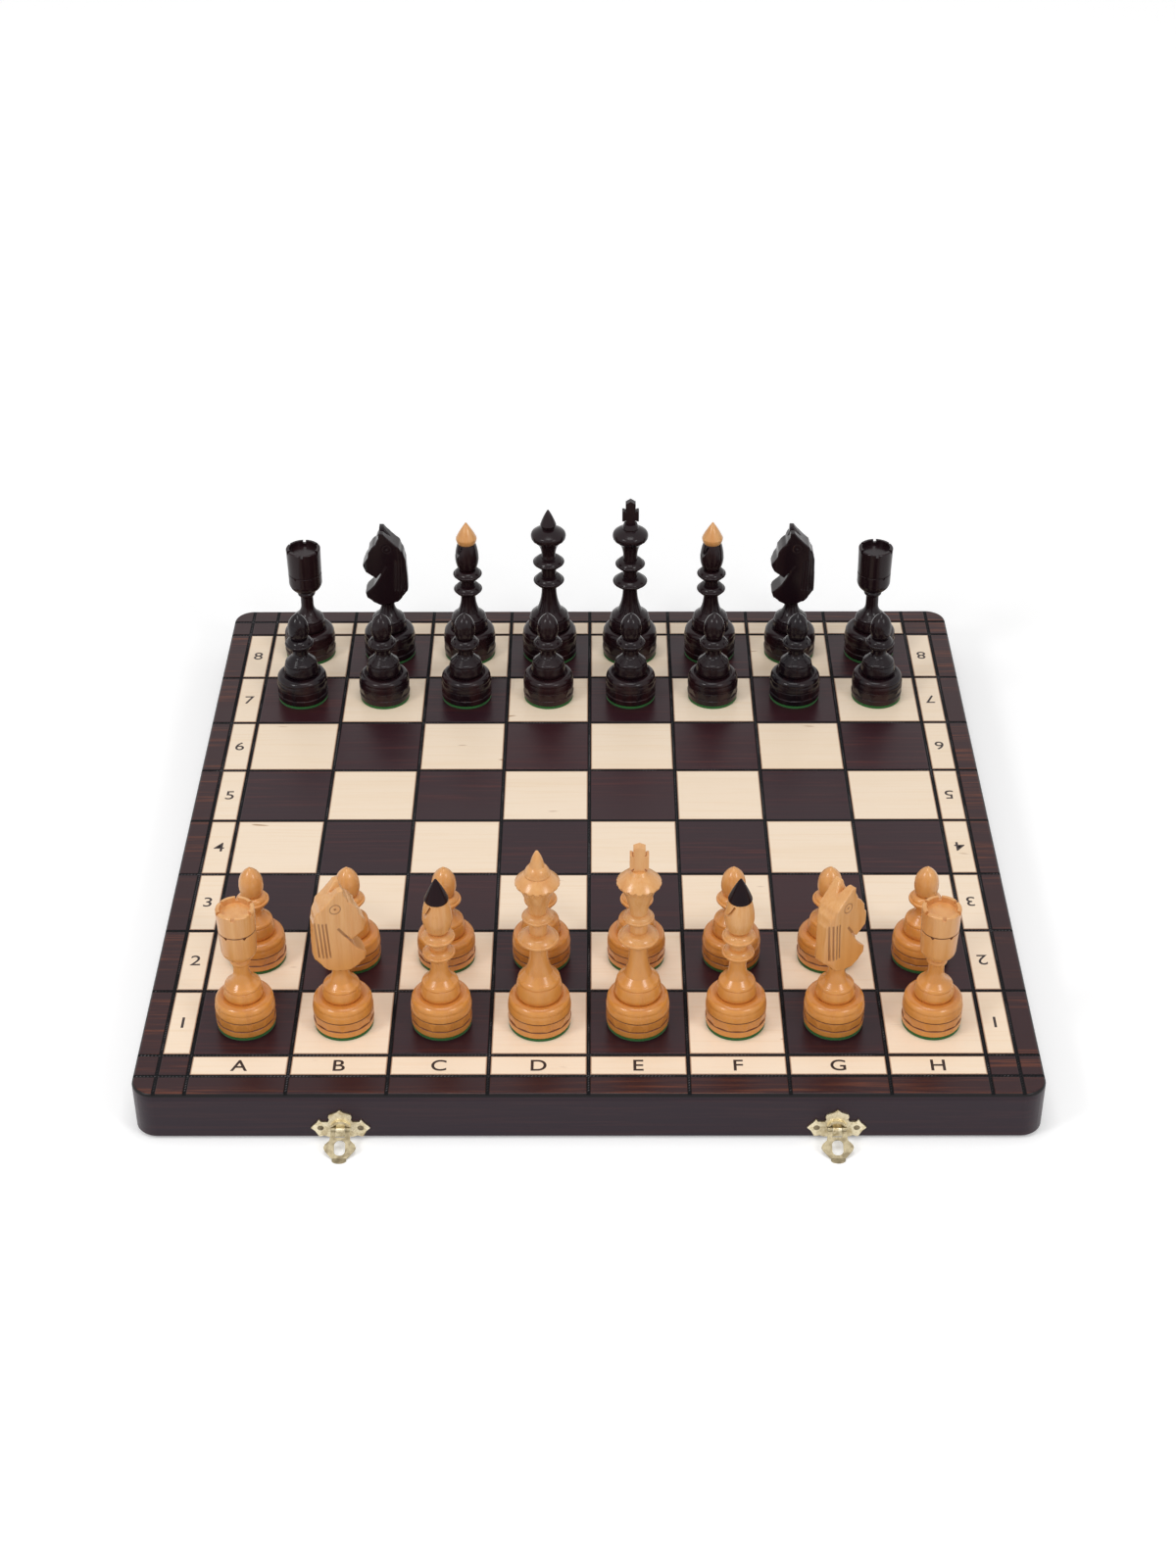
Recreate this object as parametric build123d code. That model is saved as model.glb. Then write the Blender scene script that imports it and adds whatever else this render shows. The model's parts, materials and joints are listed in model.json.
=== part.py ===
# Folding wooden chess set: two half boxes hinged at the middle, two brass hook clasps and 32 chessmen.
# Millimetres. The origin is the middle of the seam in the plane of the rims, on the fold's axis.
# +X is to the right, +Y to the rear and +Z up. The hinge barrels reach just below the rims.
from build123d import *
import os
from types import SimpleNamespace as Sizes
from math import acos, atan2, cos, degrees, hypot, radians, sin, sqrt

# Board
square = 58.0
label_strip = 18.0
side_border = 14.0
end_border = 16.0
corner_radius = 13.5
panel_thickness = 5.0
top_edge_radius = 2.0
line_width = 3.0
line_depth = 0.6

# Rails and tray
rail_height = 28.0
rail_thickness = 12.0
rim_edge_radius = 1.5
lining_thickness = 1.2
slat_thickness = 4.0
slat_height = 18.0

# Hinges
hinge_spacing = 300.0
hinge_length = 60.0
hinge_reach = 10.0
leaf_thickness = 1.2
hinge_pin_radius = 0.7
knuckle_wall = 0.8
knuckle_count = 5
knuckle_gap = 0.3
running_clearance = 0.05
seat_clearance = 0.3
hinge_screw_spacing = 20.0

# Screws
screw_head_radius = 1.9
screw_shank_radius = 0.9
screw_length = 9.0
dome_height = 0.7

# Clasps, measured outwards and upwards from the hook's pivot
clasp_spacing = 287.0
clasp_sheet = 1.0
pivot_above_rim = 8.0
clasp_half_width = 17.2
clasp_crown_height = 13.6
clasp_foot_depth = 6.8
clasp_screw_offset = 11.6
arch_radius = 6.2
arch_width = 1.6
arch_height = 1.4
clasp_pin_radius = 0.7
clasp_knuckle_radius = 1.6
clasp_knuckle_width = 5.0
hook_sheet = 0.9
hook_eye_width = 2.6
hook_length = 20.6
hook_lip_length = 3.4
hook_lip_turn = 25.0
hook_flare = 9.4
hook_waist = 6.0
hook_window_width = 6.4
hook_window_top = 6.4
hook_window_end = 15.4
table_clearance = 0.1

# Catches on the rear half
catch_width = 23.0
catch_height = 10.0
catch_above_rim = 0.8
catch_knob_width = 4.4
catch_knob_height = 3.2
catch_knob_above_rim = 2.2
catch_knob_reach = 4.2
catch_screw_offset = 8.2

# Chessmen, shared by all kinds. Heights are from the board, radii from each man's axis
men_scale = 1.0
felt_thickness = 2.0
felt_inset = 0.8
lower_line_share = 0.24
upper_line_share = 0.545
burnt_line_depth = 0.6
burnt_line_width = 0.8
facet_count = 12
facet_depth = 0.7
standing_clearance = 0.05

# The foot as shares of its radius and of its rise to the crease, and the bell as shares of its
# radius and its swell: (radius, height, bow as a share of the radius)
foot_profile = [(0.95, 0, 0), (0.99, 0.06, 0.01)]
shoulder_profile = [(0.97, 0.79, 0.012), (0.77, 1.02, 0.07)]
bell_profile = [(0.93, 0, 0), (1.0, 0.33, 0.04), (0.94, 0.6, 0.01), (0.92, 0.61, 0), (0.93, 0.64, 0),
                (0.82, 0.8, 0.03), (0.6, 1.0, 0)]

# The chessmen's outlines: foot, bell and stem by name, then discs as (radius, height, half
# thickness) and the rest as (radius, height, bow of the arc that ends there)
white_king = Sizes(
    foot=18.7, crease=22.6, bell=13.7, waist=38.4, neck=5.3, neck_height=56.0,
    discs=[(12.0, 65.2, 4.4), (9.0, 79.6, 3.2)],
    above=[(6.0, 88.4, -0.1), (8.4, 96.3, -0.2), (12.5, 103.9, -0.5), (13.0, 104.7, 0.1),
           (12.6, 105.5, 0.1), (6.0, 111.6, 0.3), (4.6, 113.4, 0)],
    flare=[(8.4, 96.3), (12.5, 103.9)], post=3.45, arm=5.45, cross=[1.8, 11.5, 15.8, 17.2],
)
black_king = Sizes(
    foot=19.6, crease=22.4, bell=14.6, waist=36.6, neck=5.2, neck_height=53.6,
    discs=[(12.3, 60.5, 4.2), (10.6, 74.6, 3.8)],
    above=[(5.1, 82.6, 0), (5.8, 86.6, -0.1), (7.6, 91.0, -0.2), (11.4, 94.6, -0.3),
           (12.6, 97.4, 0.3), (11.4, 100.4, 0.4), (5.8, 103.4, 0.3), (5.7, 104.6, 0.1), (4.6, 107.4, 0)],
    flare=[(7.6, 91.0), (11.4, 94.6)], post=3.5, arm=5.85, cross=[2.6, 10.4, 16.0, 18.2],
)
white_queen = Sizes(
    foot=18.7, crease=22.0, bell=13.5, waist=40.2, neck=5.2, neck_height=54.0,
    discs=[(12.1, 64.0, 4.4), (9.4, 80.0, 3.4)],
    above=[(6.0, 88.4, -0.1), (8.4, 96.3, -0.2), (12.5, 103.7, -0.5), (13.0, 104.6, 0.1),
           (12.5, 105.6, 0.1), (7.5, 110.4, 0.2), (7.2, 112.0, 0.2), (4.3, 116.5, 0.5),
           (3.7, 119.0, 0), (1.1, 126.0, 0.3)],
    flare=[(8.4, 96.3), (12.5, 103.7)], tip=126.9,
)
black_queen = Sizes(
    foot=19.6, crease=22.4, bell=14.6, waist=37.8, neck=5.3, neck_height=54.4,
    discs=[(11.0, 61.4, 4.2), (11.2, 76.4, 3.8)],
    above=[(4.9, 82.6, 0), (5.6, 86.6, -0.1), (7.6, 91.0, -0.2), (11.2, 94.6, -0.3),
           (12.4, 97.6, 0.3), (11.2, 100.4, 0.4), (4.4, 103.8, 0.3), (5.6, 106.2, 0), (5.5, 107.0, 0.1),
           (0.9, 117.2, 0.3)],
    flare=[(7.6, 91.0), (11.2, 94.6)], tip=118.0,
)
white_bishop = Sizes(
    foot=18.0, crease=22.6, bell=11.7, waist=36.2, neck=5.1, neck_height=43.6,
    discs=[(9.5, 53.6, 3.8), (9.8, 65.2, 3.8)],
    above=[(7.2, 71.4, 0), (8.7, 78.6, 0.3), (6.6, 91.6, 0.5)],
    cap=[(7.0, 92.4, 0.1), (6.8, 93.6, 0.1), (0.9, 106.0, 0.3)], cap_tip=106.8,
)
black_bishop = Sizes(
    foot=18.6, crease=22.2, bell=13.0, waist=36.2, neck=5.2, neck_height=48.5,
    discs=[(10.2, 54.2, 3.8), (10.3, 66.6, 3.8)],
    above=[(6.9, 72.4, 0), (8.4, 79.4, 0.3), (6.3, 91.8, 0.5)],
    cap=[(7.3, 94.6, 0.2), (7.3, 96.0, 0.1), (0.9, 107.0, 0.3)], cap_tip=107.9,
)
white_rook = Sizes(
    foot=17.7, crease=21.8, bell=11.6, waist=33.9, neck=4.7, neck_height=40.6,
    above=[(4.7, 45.4, 0), (5.9, 46.8, 0.1), (5.9, 48.4, 0.2), (5.2, 49.8, 0), (8.4, 52.2, 0.2),
           (10.4, 56.4, 0.4)],
    burnt=71.4, cup=11.4, top=86.4,
)
black_rook = Sizes(
    foot=18.2, crease=21.8, bell=11.9, waist=34.6, neck=4.5, neck_height=41.4,
    above=[(4.5, 48.6, 0), (6.1, 50.2, 0.1), (6.1, 51.8, 0.2), (5.4, 53.0, 0), (9.2, 55.0, 0.2),
           (11.8, 60.0, 0.5)],
    burnt=68.0, cup=12.2, top=87.8,
)
white_knight = Sizes(foot=17.9, crease=21.8, bell=11.6, waist=34.0, neck=4.9, neck_height=41.0, above=[])
black_knight = Sizes(foot=18.4, crease=21.8, bell=12.4, waist=34.8, neck=4.6, neck_height=43.0, above=[])
white_pawn = Sizes(
    foot=17.7, crease=20.4, bell=11.8, waist=33.9, neck=5.1, neck_height=37.4,
    discs=[(10.0, 44.8, 4.4)], above=[(6.2, 50.0, 0), (7.3, 57.2, 0.5), (0.9, 68.3, 1.7)], tip=69.1,
)
black_pawn = white_pawn

cross_thickness = 5.0
cross_nick = 0.6
flute_count = 18
flute_radius = 1.5
flute_depth = 0.5
bishop_cut_width = 1.0
bishop_cut_length = 10.0
bishop_cut_lean = 66.0
bishop_cut_turn = 195.0
rook_rim = 2.4
rook_hollow = 3.6
rook_notches = 6
notch_width = 2.0
notch_depth = 2.2
chip_size = 1.8
knight_foot_height = 44.6
knight_nose = 16.3
knight_back = 15.5
knight_thickness = 15.0
mane_grooves = 4
mane_groove_radius = 0.6
mane_groove_pitch = 2.1
eye_radius = 3.4
eye_place = (-1.8, 46.0)
mouth_corner = (-0.6, 31.4)
ear_height = 58.4
ear_cleft_depth = 6.4
head_room = 60.0

# Where the ranks stand, in squares from the seam, as set out by hand
white_back_rank = -3.49
white_pawn_rank = -2.44
black_pawn_rank = 2.58
black_back_rank = 3.58

men = {
    ("white", "king"): white_king, ("black", "king"): black_king,
    ("white", "queen"): white_queen, ("black", "queen"): black_queen,
    ("white", "bishop"): white_bishop, ("black", "bishop"): black_bishop,
    ("white", "knight"): white_knight, ("black", "knight"): black_knight,
    ("white", "rook"): white_rook, ("black", "rook"): black_rook,
    ("white", "pawn"): white_pawn, ("black", "pawn"): black_pawn,
}
knight_turns = {"white_knight_b1": 18, "white_knight_g1": 40, "black_knight_b8": 180,
                "black_knight_g8": 180}

half_width = 4 * square + label_strip + side_border
half_depth = 4 * square + label_strip + end_border
knuckle_radius = hinge_pin_radius + knuckle_wall
rim_z = 0.0
table_z = rim_z - knuckle_radius
panel_z = rim_z + rail_height
board_z = panel_z + panel_thickness
label_line_x = 4 * square + label_strip
label_line_y = 4 * square + label_strip


def outline(points):
    """Closed outline through (x, y, bow) points, each with the height of the arc that ends there."""
    edges = []
    for (x0, y0, _), (x1, y1, bow) in zip([points[-1]] + points[:-1], points):
        run = SagittaArc((x0, y0), (x1, y1), bow) if bow else Line((x0, y0), (x1, y1))
        edges.append(run)
    return make_face(edges)


def polygon(points):
    """Closed outline through (x, y) points."""
    return outline([(x, y, 0) for x, y in points])


def mirrored(points):
    """Outline points on the right, followed by the same points on the left."""
    return points + [(-x, y) for x, y in reversed(points)]


def rear(part):
    """The same piece on the rear half."""
    return mirror(part, about=Plane.XZ)


def save(name, part):
    """Write one named piece."""
    items = part if isinstance(part, list) else [part]
    solids = [solid for item in items for solid in item.solids()]
    shape = solids[0] if len(solids) == 1 else Compound(children=list(solids))
    shape.label = name
    export_step(shape, os.path.join("parts", name + ".step"))


# The case


def half_block():
    """Outer form of the front half: round at its free corners and edges, square at the seam."""
    plan = Pos(0, -half_depth / 2) * Rectangle(2 * half_width, half_depth)
    plan = fillet(plan.vertices().group_by(Axis.Y)[0], corner_radius)
    block = Pos(0, 0, rim_z) * extrude(plan, board_z - rim_z)
    top_edges = free_edges(block.faces().sort_by(Axis.Z)[-1])
    block = fillet(top_edges, top_edge_radius)
    rim_edges = free_edges(block.faces().sort_by(Axis.Z)[0])
    return fillet(rim_edges, rim_edge_radius)


def free_edges(face):
    """The edges of a face that don't lie on the seam."""
    return [edge for edge in face.edges() if edge.center().Y < -seat_clearance]


def slab(z0, z1):
    """A layer of space that is larger than the board."""
    return Pos(0, 0, (z0 + z1) / 2) * Box(4 * half_width, 4 * half_depth, z1 - z0)


def pressed_line(length, along_x):
    """Cutter for one pressed line: a shallow V with its mouth on the board's top."""
    mouth = polygon([(-line_width / 2, 0), (line_width / 2, 0), (0, -line_depth)])
    lift = line_depth / 2
    mouth += Pos(0, lift / 2) * Rectangle(line_width, lift)
    plane = Plane.YZ if along_x else Plane.XZ
    return Pos(0, 0, board_z) * extrude(plane * mouth, length / 2, both=True)


def playing_panel(block):
    """The board's top with its pressed lines."""
    panel = block & slab(panel_z, board_z + 1)
    rows = [y for y in line_places(label_line_y) if y > 0]
    across = [Pos(0, -y, 0) * pressed_line(4 * half_width, True) for y in rows]
    along = [Pos(x, 0, 0) * pressed_line(4 * half_depth, False) for x in line_places(label_line_x)]
    return panel - (across + along)


def line_places(label_line):
    """Distances of all parallel lines from the board's middle, the label lines included."""
    files = [square * n for n in range(-4, 5)]
    return [-label_line] + files + [label_line]


def rails(block):
    """The four mitred side rails of the front half, by name."""
    w, d, t = half_width, half_depth, rail_thickness
    plans = {
        "clasp_rail": [(-w, -d), (w, -d), (w - t, t - d), (t - w, t - d)],
        "seam_rail": [(-w, 0), (-w + t, -t), (w - t, -t), (w, 0)],
        "left_rail": [(-w, -d), (t - w, t - d), (t - w, -t), (-w, 0)],
        "right_rail": [(w, -d), (w, 0), (w - t, -t), (w - t, t - d)],
    }
    frame = block & slab(rim_z - 1, panel_z)
    return {name: frame & extrude(polygon(plan), board_z) for name, plan in plans.items()}


def lining():
    """The felt sheet under the panel."""
    size_x = 2 * (half_width - rail_thickness)
    size_y = half_depth - 2 * rail_thickness
    middle = Pos(0, -half_depth / 2, panel_z - lining_thickness / 2)
    return middle * Box(size_x, size_y, lining_thickness)


def dividers():
    """One long slat and four short ones, which split the tray into six."""
    tray_x = 2 * (half_width - rail_thickness)
    tray_y = half_depth - 2 * rail_thickness
    middle = Pos(0, -half_depth / 2, panel_z - lining_thickness - slat_height / 2)
    slats = [middle * Box(tray_x, slat_thickness, slat_height)]
    short = (tray_y - slat_thickness) / 2
    for x in (-tray_x / 6, tray_x / 6):
        for y in (-(short + slat_thickness) / 2, (short + slat_thickness) / 2):
            slats.append(middle * Pos(x, y) * Box(slat_thickness, short, slat_height))
    return slats


# Hinges, screws and clasps


def screw(dome=0.0):
    """A screw along -Z with its head flush at z = 0, or raised by a dome."""
    head = screw_head_radius
    shank = screw_shank_radius
    profile = [(0, -screw_length, 0), (shank, shank - screw_length, 0)]
    profile += [(shank, shank - head, 0), (head, 0, 0)]
    profile.append((0, dome, -end_bow(head, dome) if dome else 0))
    return revolve(Plane.XZ * outline(profile), Axis.Z, 360)


def hinge_screws():
    """The screws of both front leaves, heads flush with the rim."""
    y = -(knuckle_radius + seat_clearance + hinge_reach / 2)
    places = [x + n * hinge_screw_spacing for x in hinge_places() for n in (-1, 0, 1)]
    return [Pos(x, y, rim_z) * Rot(X=180) * screw() for x in places]


def hinge_places():
    """Middle of each hinge along the seam."""
    return (-hinge_spacing / 2, hinge_spacing / 2)


def knuckles(first):
    """Every second knuckle of one hinge, as (middle, length) along the pin."""
    pitch = hinge_length / knuckle_count
    mine = range(first, knuckle_count, 2)
    return [((n + 0.5) * pitch - hinge_length / 2, pitch - knuckle_gap) for n in mine]


def barrel(radius, length):
    """A cylinder along the hinge's axis."""
    return Rot(Y=90) * Cylinder(radius, length)


def hinge_leaf(first, bore_radius):
    """One front leaf at the seam: plate, tongues and every second knuckle, round the axis."""
    plate_start = knuckle_radius + seat_clearance
    leaf = Pos(0, -plate_start - hinge_reach / 2, leaf_thickness / 2)
    leaf *= Box(hinge_length, hinge_reach, leaf_thickness)
    for x, length in knuckles(first):
        leaf += Pos(x, -plate_start / 2, leaf_thickness / 2) * Box(length, plate_start, leaf_thickness)
        leaf += Pos(x, 0, 0) * barrel(knuckle_radius, length)
    return leaf - barrel(bore_radius, 2 * hinge_length)


def hinge_recess():
    """Cutter for one hinge's seat in the front seam rail."""
    reach = knuckle_radius + seat_clearance + hinge_reach
    seat = Pos(0, -reach / 2, leaf_thickness / 2) * Box(hinge_length, reach, leaf_thickness)
    return seat + barrel(knuckle_radius + seat_clearance, hinge_length)


def hinge_leaves(first, bore_radius, screws):
    """Both leaves of the front half, with their countersinks."""
    leaf = hinge_leaf(first, bore_radius)
    return [Pos(x, 0, rim_z) * leaf - screws for x in hinge_places()]


def hinge_pins():
    """The pins of both hinges."""
    return [Pos(x, 0, rim_z) * barrel(hinge_pin_radius, hinge_length) for x in hinge_places()]


pivot_z = rim_z + pivot_above_rim
pivot_out = clasp_sheet + clasp_knuckle_radius
pivot_y = -half_depth - pivot_out


def on_face(sketch, thickness, out=0.0):
    """A sketch drawn about the pivot, raised from the case's front face."""
    face = Plane(origin=(0, -half_depth - out, pivot_z), x_dir=(1, 0, 0), z_dir=(0, -1, 0))
    return extrude(face * sketch, thickness)


def clasp_screws(x):
    """The two dome-headed screws of one clasp plate."""
    seat_y = -half_depth - clasp_sheet
    return [Pos(x + side, seat_y, pivot_z) * Rot(X=90) * screw(dome_height) for side in screw_sides()]


def screw_sides():
    """Offsets of a clasp plate's screws."""
    return (-clasp_screw_offset, clasp_screw_offset)


def clasp_plate():
    """The stamped plate with its pointed wings, raised arch and centre knuckle, about x = 0."""
    wing, crown, foot = clasp_half_width, clasp_crown_height, clasp_foot_depth
    right = [
        (0, crown), (2.2, crown - 2.0), (6.2, crown - 3.6), (6.8, crown - 5.4), (6.2, crown - 7.4),
        (7.2, crown - 9.2), (wing - 6.2, crown - 9.0), (wing - 5.0, crown - 7.2),
        (wing - 3.4, crown - 9.8), (wing - 1.2, crown - 12.0), (wing, 0), (wing - 2.4, -2.4),
        (wing - 4.6, -foot), (wing - 7.6, 1 - foot),
        (7.4, -foot), (4.0, -foot),
    ]
    plate = on_face(polygon(right + [(-x, y) for x, y in reversed(right[1:])]), clasp_sheet)
    ring = Circle(arch_radius) - Circle(arch_radius - arch_width)
    arch_rise = 2 * arch_radius - 2 * clasp_knuckle_radius - clasp_sheet
    ring &= Pos(0, arch_radius) * Rectangle(4 * arch_radius, arch_rise)
    plate += on_face(ring, clasp_sheet + arch_height)
    plate += Pos(0, pivot_y, pivot_z) * barrel(clasp_knuckle_radius, clasp_knuckle_width)
    stem = Rectangle(clasp_knuckle_width, 2 * clasp_knuckle_radius)
    plate += on_face(stem, pivot_out)
    return plate - Pos(0, pivot_y, pivot_z) * barrel(clasp_pin_radius, 4 * clasp_knuckle_width)


def clasp_pin():
    """The pin through the plate's knuckle and the hook's two eyes."""
    length = clasp_knuckle_width + 2 * (knuckle_gap + hook_eye_width)
    return Pos(0, pivot_y, pivot_z) * barrel(clasp_pin_radius, length)


def hook_angle():
    """How far the hook stands out from hanging when its lip rests on the table."""
    turn = radians(hook_lip_turn)
    reach = hook_length - hook_lip_length + hook_lip_length * cos(turn)
    lift = hook_lip_length * sin(turn) - hook_sheet / 2
    drop = (pivot_z - table_z - table_clearance) / hypot(reach, lift)
    return degrees(acos(drop) - atan2(lift, reach))


def hook():
    """The swinging hook about x = 0, hanging straight down in front of the face."""
    bend = hook_length - hook_lip_length
    eye_inner = clasp_knuckle_width / 2 + knuckle_gap
    eye_outer = eye_inner + hook_eye_width
    right = [
        (eye_outer, 0), (hook_waist, -hook_window_top), (hook_flare - 0.6, -9.0), (hook_flare, -10.8),
        (hook_flare - 0.8, -12.6), (5.2, -bend + 0.8), (4.2, -bend),
    ]
    plan = polygon(mirrored(right)) - Pos(0, 0) * Rectangle(2 * eye_inner, 2 * (hook_window_top - 1.8))
    window_height = hook_window_end - hook_window_top
    window = RectangleRounded(hook_window_width, window_height, hook_window_width / 2 - 0.4)
    plan -= Pos(0, -hook_window_top - window_height / 2) * window
    body = on_face(plan, hook_sheet, pivot_out - hook_sheet / 2)
    for side in (-1, 1):
        middle = side * (eye_inner + eye_outer) / 2
        body += Pos(middle, pivot_y, pivot_z) * barrel(clasp_knuckle_radius, hook_eye_width)
    lip_plan = Pos(0, -(hook_lip_length - 1.2) / 2) * Ellipse(4.2, (hook_lip_length + 1.2) / 2)
    lip_plan &= Pos(0, -hook_lip_length) * Rectangle(10, 2 * hook_lip_length)
    lip_plane = Plane(origin=(0, 0, 0), x_dir=(1, 0, 0), z_dir=(0, -1, 0))
    lip = extrude(lip_plane * lip_plan, hook_sheet / 2, both=True)
    body += Pos(0, pivot_y, pivot_z - bend) * Rot(X=-hook_lip_turn) * lip
    return body - Pos(0, pivot_y, pivot_z) * barrel(clasp_pin_radius + running_clearance, 4 * eye_outer)


def resting_hook():
    """The hook swung out until it rests on the table."""
    pivot = Pos(0, pivot_y, pivot_z)
    return pivot * Rot(X=-hook_angle()) * pivot.inverse() * hook()


def catch_plate():
    """The rear half's catch about x = 0, modelled on the front face: plate with a knob."""
    middle = catch_above_rim + catch_height / 2 - pivot_above_rim
    plate = RectangleRounded(catch_width, catch_height, catch_height / 2 - 1)
    body = on_face(Pos(0, middle) * plate, clasp_sheet)
    knob = RectangleRounded(catch_knob_width, catch_knob_height, catch_knob_height / 4)
    knob_middle = catch_knob_above_rim + catch_knob_height / 2 - pivot_above_rim
    return body + on_face(Pos(0, knob_middle) * knob, catch_knob_reach)


def catch_screws(x):
    """The two screws of one catch plate."""
    z = rim_z + catch_above_rim + catch_height / 2
    seat_y = -half_depth - clasp_sheet
    return [Pos(x + side, seat_y, z) * Rot(X=90) * screw(dome_height)
            for side in (-catch_screw_offset, catch_screw_offset)]


def clasp_places():
    """Middle of each clasp along the front face."""
    return (-clasp_spacing / 2, clasp_spacing / 2)


# Chessmen, each built about its own axis with z = 0 on the board


class Turning:
    """Outline of a turned man as (radius, height, bow) points, from the felt to the top of its stem."""

    def __init__(self, man):
        rise, swell = man.crease - felt_thickness, man.waist - man.crease
        self.points = [(0, felt_thickness, 0)]
        self.shares(foot_profile, man.foot, felt_thickness, rise)
        self.burnt_line(man.foot, line_height(man, lower_line_share))
        self.burnt_line(man.foot, line_height(man, upper_line_share))
        self.shares(shoulder_profile, man.foot, felt_thickness, rise)
        self.shares(bell_profile, man.bell, man.crease, swell)
        narrowing = self.points[-1][0] - man.neck
        self.to(man.neck, man.neck_height, -end_bow(man.neck_height - man.waist, narrowing))
        for radius, height, half in getattr(man, "discs", []):
            self.disc(radius, height, half, man.neck)
        for radius, height, bow in man.above:
            self.to(radius, height, bow)

    def shares(self, profile, radius, start, rise):
        """Run through points given as shares of a radius and a rise."""
        for across, up, bow in profile:
            self.to(across * radius, start + up * rise, bow * radius)

    def burnt_line(self, radius, z):
        """A narrow ring groove."""
        half = burnt_line_width / 2
        self.to(radius, z - half).to(radius - burnt_line_depth, z).to(radius, z + half)

    def to(self, radius, height, bow=0.0):
        """Run to a radius and height along an arc that bulges outwards by bow."""
        self.points.append((radius, height, -bow))
        return self

    def disc(self, radius, height, half, neck):
        """A lens-shaped ring round the neck."""
        edge = half / 4
        self.to(neck, height - half).to(radius - edge, height - edge, half / 5)
        self.to(radius - edge, height + edge, edge)
        return self.to(neck, height + half, half / 5)

    def tip(self, height):
        """Close on the axis with a round tip, level at its top."""
        radius, start, _ = self.points[-1]
        return self.to(0, height, end_bow(radius, height - start))

    def solid(self):
        """The turned solid, closed on the axis at its last height."""
        points = list(self.points)
        if points[-1][0] > 0:
            points.append((0, points[-1][1], 0))
        return revolve(Plane.XZ * outline(points), Axis.Z, 360)


def end_bow(along, across):
    """Bow of an arc that runs so far along and across, and ends parallel to its first direction."""
    run = along**2 + across**2
    curve = run / (2 * across)
    return curve - sqrt(curve**2 - run / 4)


def line_height(man, share):
    """Height of a burnt line on a man's foot."""
    return felt_thickness + share * (man.crease - felt_thickness)


def carve_facets(part, man):
    """Hand-carved flats round the foot, deepest at the lower burnt line."""
    low, high = line_height(man, lower_line_share), line_height(man, upper_line_share)
    lean = degrees(facet_depth / (high - low))
    wide = man.foot
    for n in range(facet_count):
        block = Pos(wide, 0, (high - low) / 2) * Box(2 * wide, 2 * wide, high - low)
        part -= Rot(Z=360 * n / facet_count) * Pos(wide - facet_depth, 0, low) * Rot(Y=lean) * block
    return part


def felt(man):
    """The felt disc under a chessman."""
    return Pos(0, 0, felt_thickness / 2) * Cylinder(man.foot - felt_inset, felt_thickness)


def king(man):
    """King with a block cross on its crown."""
    turning = Turning(man)
    body = carve_flutes(carve_facets(turning.solid(), man), man)
    low, high, corner, peak = man.cross
    post, arm = man.post, man.arm
    right = [(post, 0), (post, low), (arm, low), (arm, high), (post, high), (post, corner)]
    plan = polygon(right + [(0, peak)] + [(-x, y) for x, y in reversed(right)])
    for x in (-post, post):
        plan -= [Pos(x, y) * Circle(cross_nick) for y in (low, high)]
    cross = extrude(Plane.XZ * plan, cross_thickness / 2, both=True)
    return body + Pos(0, 0, turning.points[-1][1]) * cross


def queen(man):
    """Queen with a fluted crown and a pointed finial."""
    return carve_flutes(carve_facets(Turning(man).tip(man.tip).solid(), man), man)


def carve_flutes(part, man):
    """Small flutes in the flare under the crown's rim."""
    (low_radius, low), (radius, high) = man.flare
    lean = degrees(atan2(radius - low_radius, high - low))
    place = Pos(radius + flute_radius - flute_depth, 0, high) * Rot(Y=lean)
    flute = place * Cylinder(flute_radius, high - low)
    return part - [Rot(Z=360 * n / flute_count) * flute for n in range(flute_count)]


def bishop(man):
    """Bishop without its cap: a pointed head with one slanted saw cut."""
    body = carve_facets(Turning(man).solid(), man)
    seat, height, _ = man.above[-1]
    cut = Pos(bishop_cut_length / 2, 0, 0) * Box(bishop_cut_length, 4 * seat, bishop_cut_width)
    start = Rot(Z=bishop_cut_turn) * Pos(0.7 * seat, 0, height - bishop_cut_width)
    return body - start * Rot(Y=bishop_cut_lean) * cut


def bishop_cap(man):
    """The pointed cap, a piece of its own in the other side's colour."""
    seat, height, _ = man.above[-1]
    points = [(0, height, 0), (seat, height, 0)] + [(r, z, -bow) for r, z, bow in man.cap]
    radius, start, _ = man.cap[-1]
    points.append((0, man.cap_tip, -end_bow(radius, man.cap_tip - start)))
    return revolve(Plane.XZ * outline(points), Axis.Z, 360)


def rook(man):
    """Rook with a hollowed, notched cup."""
    turning = Turning(man)
    rim, inner = man.cup, man.cup - rook_rim
    turning.burnt_line(0.97 * rim, man.burnt)
    turning.to(rim, man.top - 0.3 * rook_rim).to(rim - 0.3 * rook_rim, man.top, 0.1)
    turning.to(inner, man.top).to(inner, man.top - rook_hollow)
    body = turning.solid()
    notch = Pos(rim, 0, man.top) * Box(3 * rook_rim, notch_width, 2 * notch_depth)
    chip = Pos(rim, 0, man.burnt - 0.3 * notch_width) * Rot(X=45) * Box(notch_width, chip_size, chip_size)
    for n in range(rook_notches):
        turn = 360 * (n + 0.5) / rook_notches
        body -= Rot(Z=turn) * notch
        body -= Rot(Z=turn + 180 / rook_notches) * chip
    return carve_facets(body, man)


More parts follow.
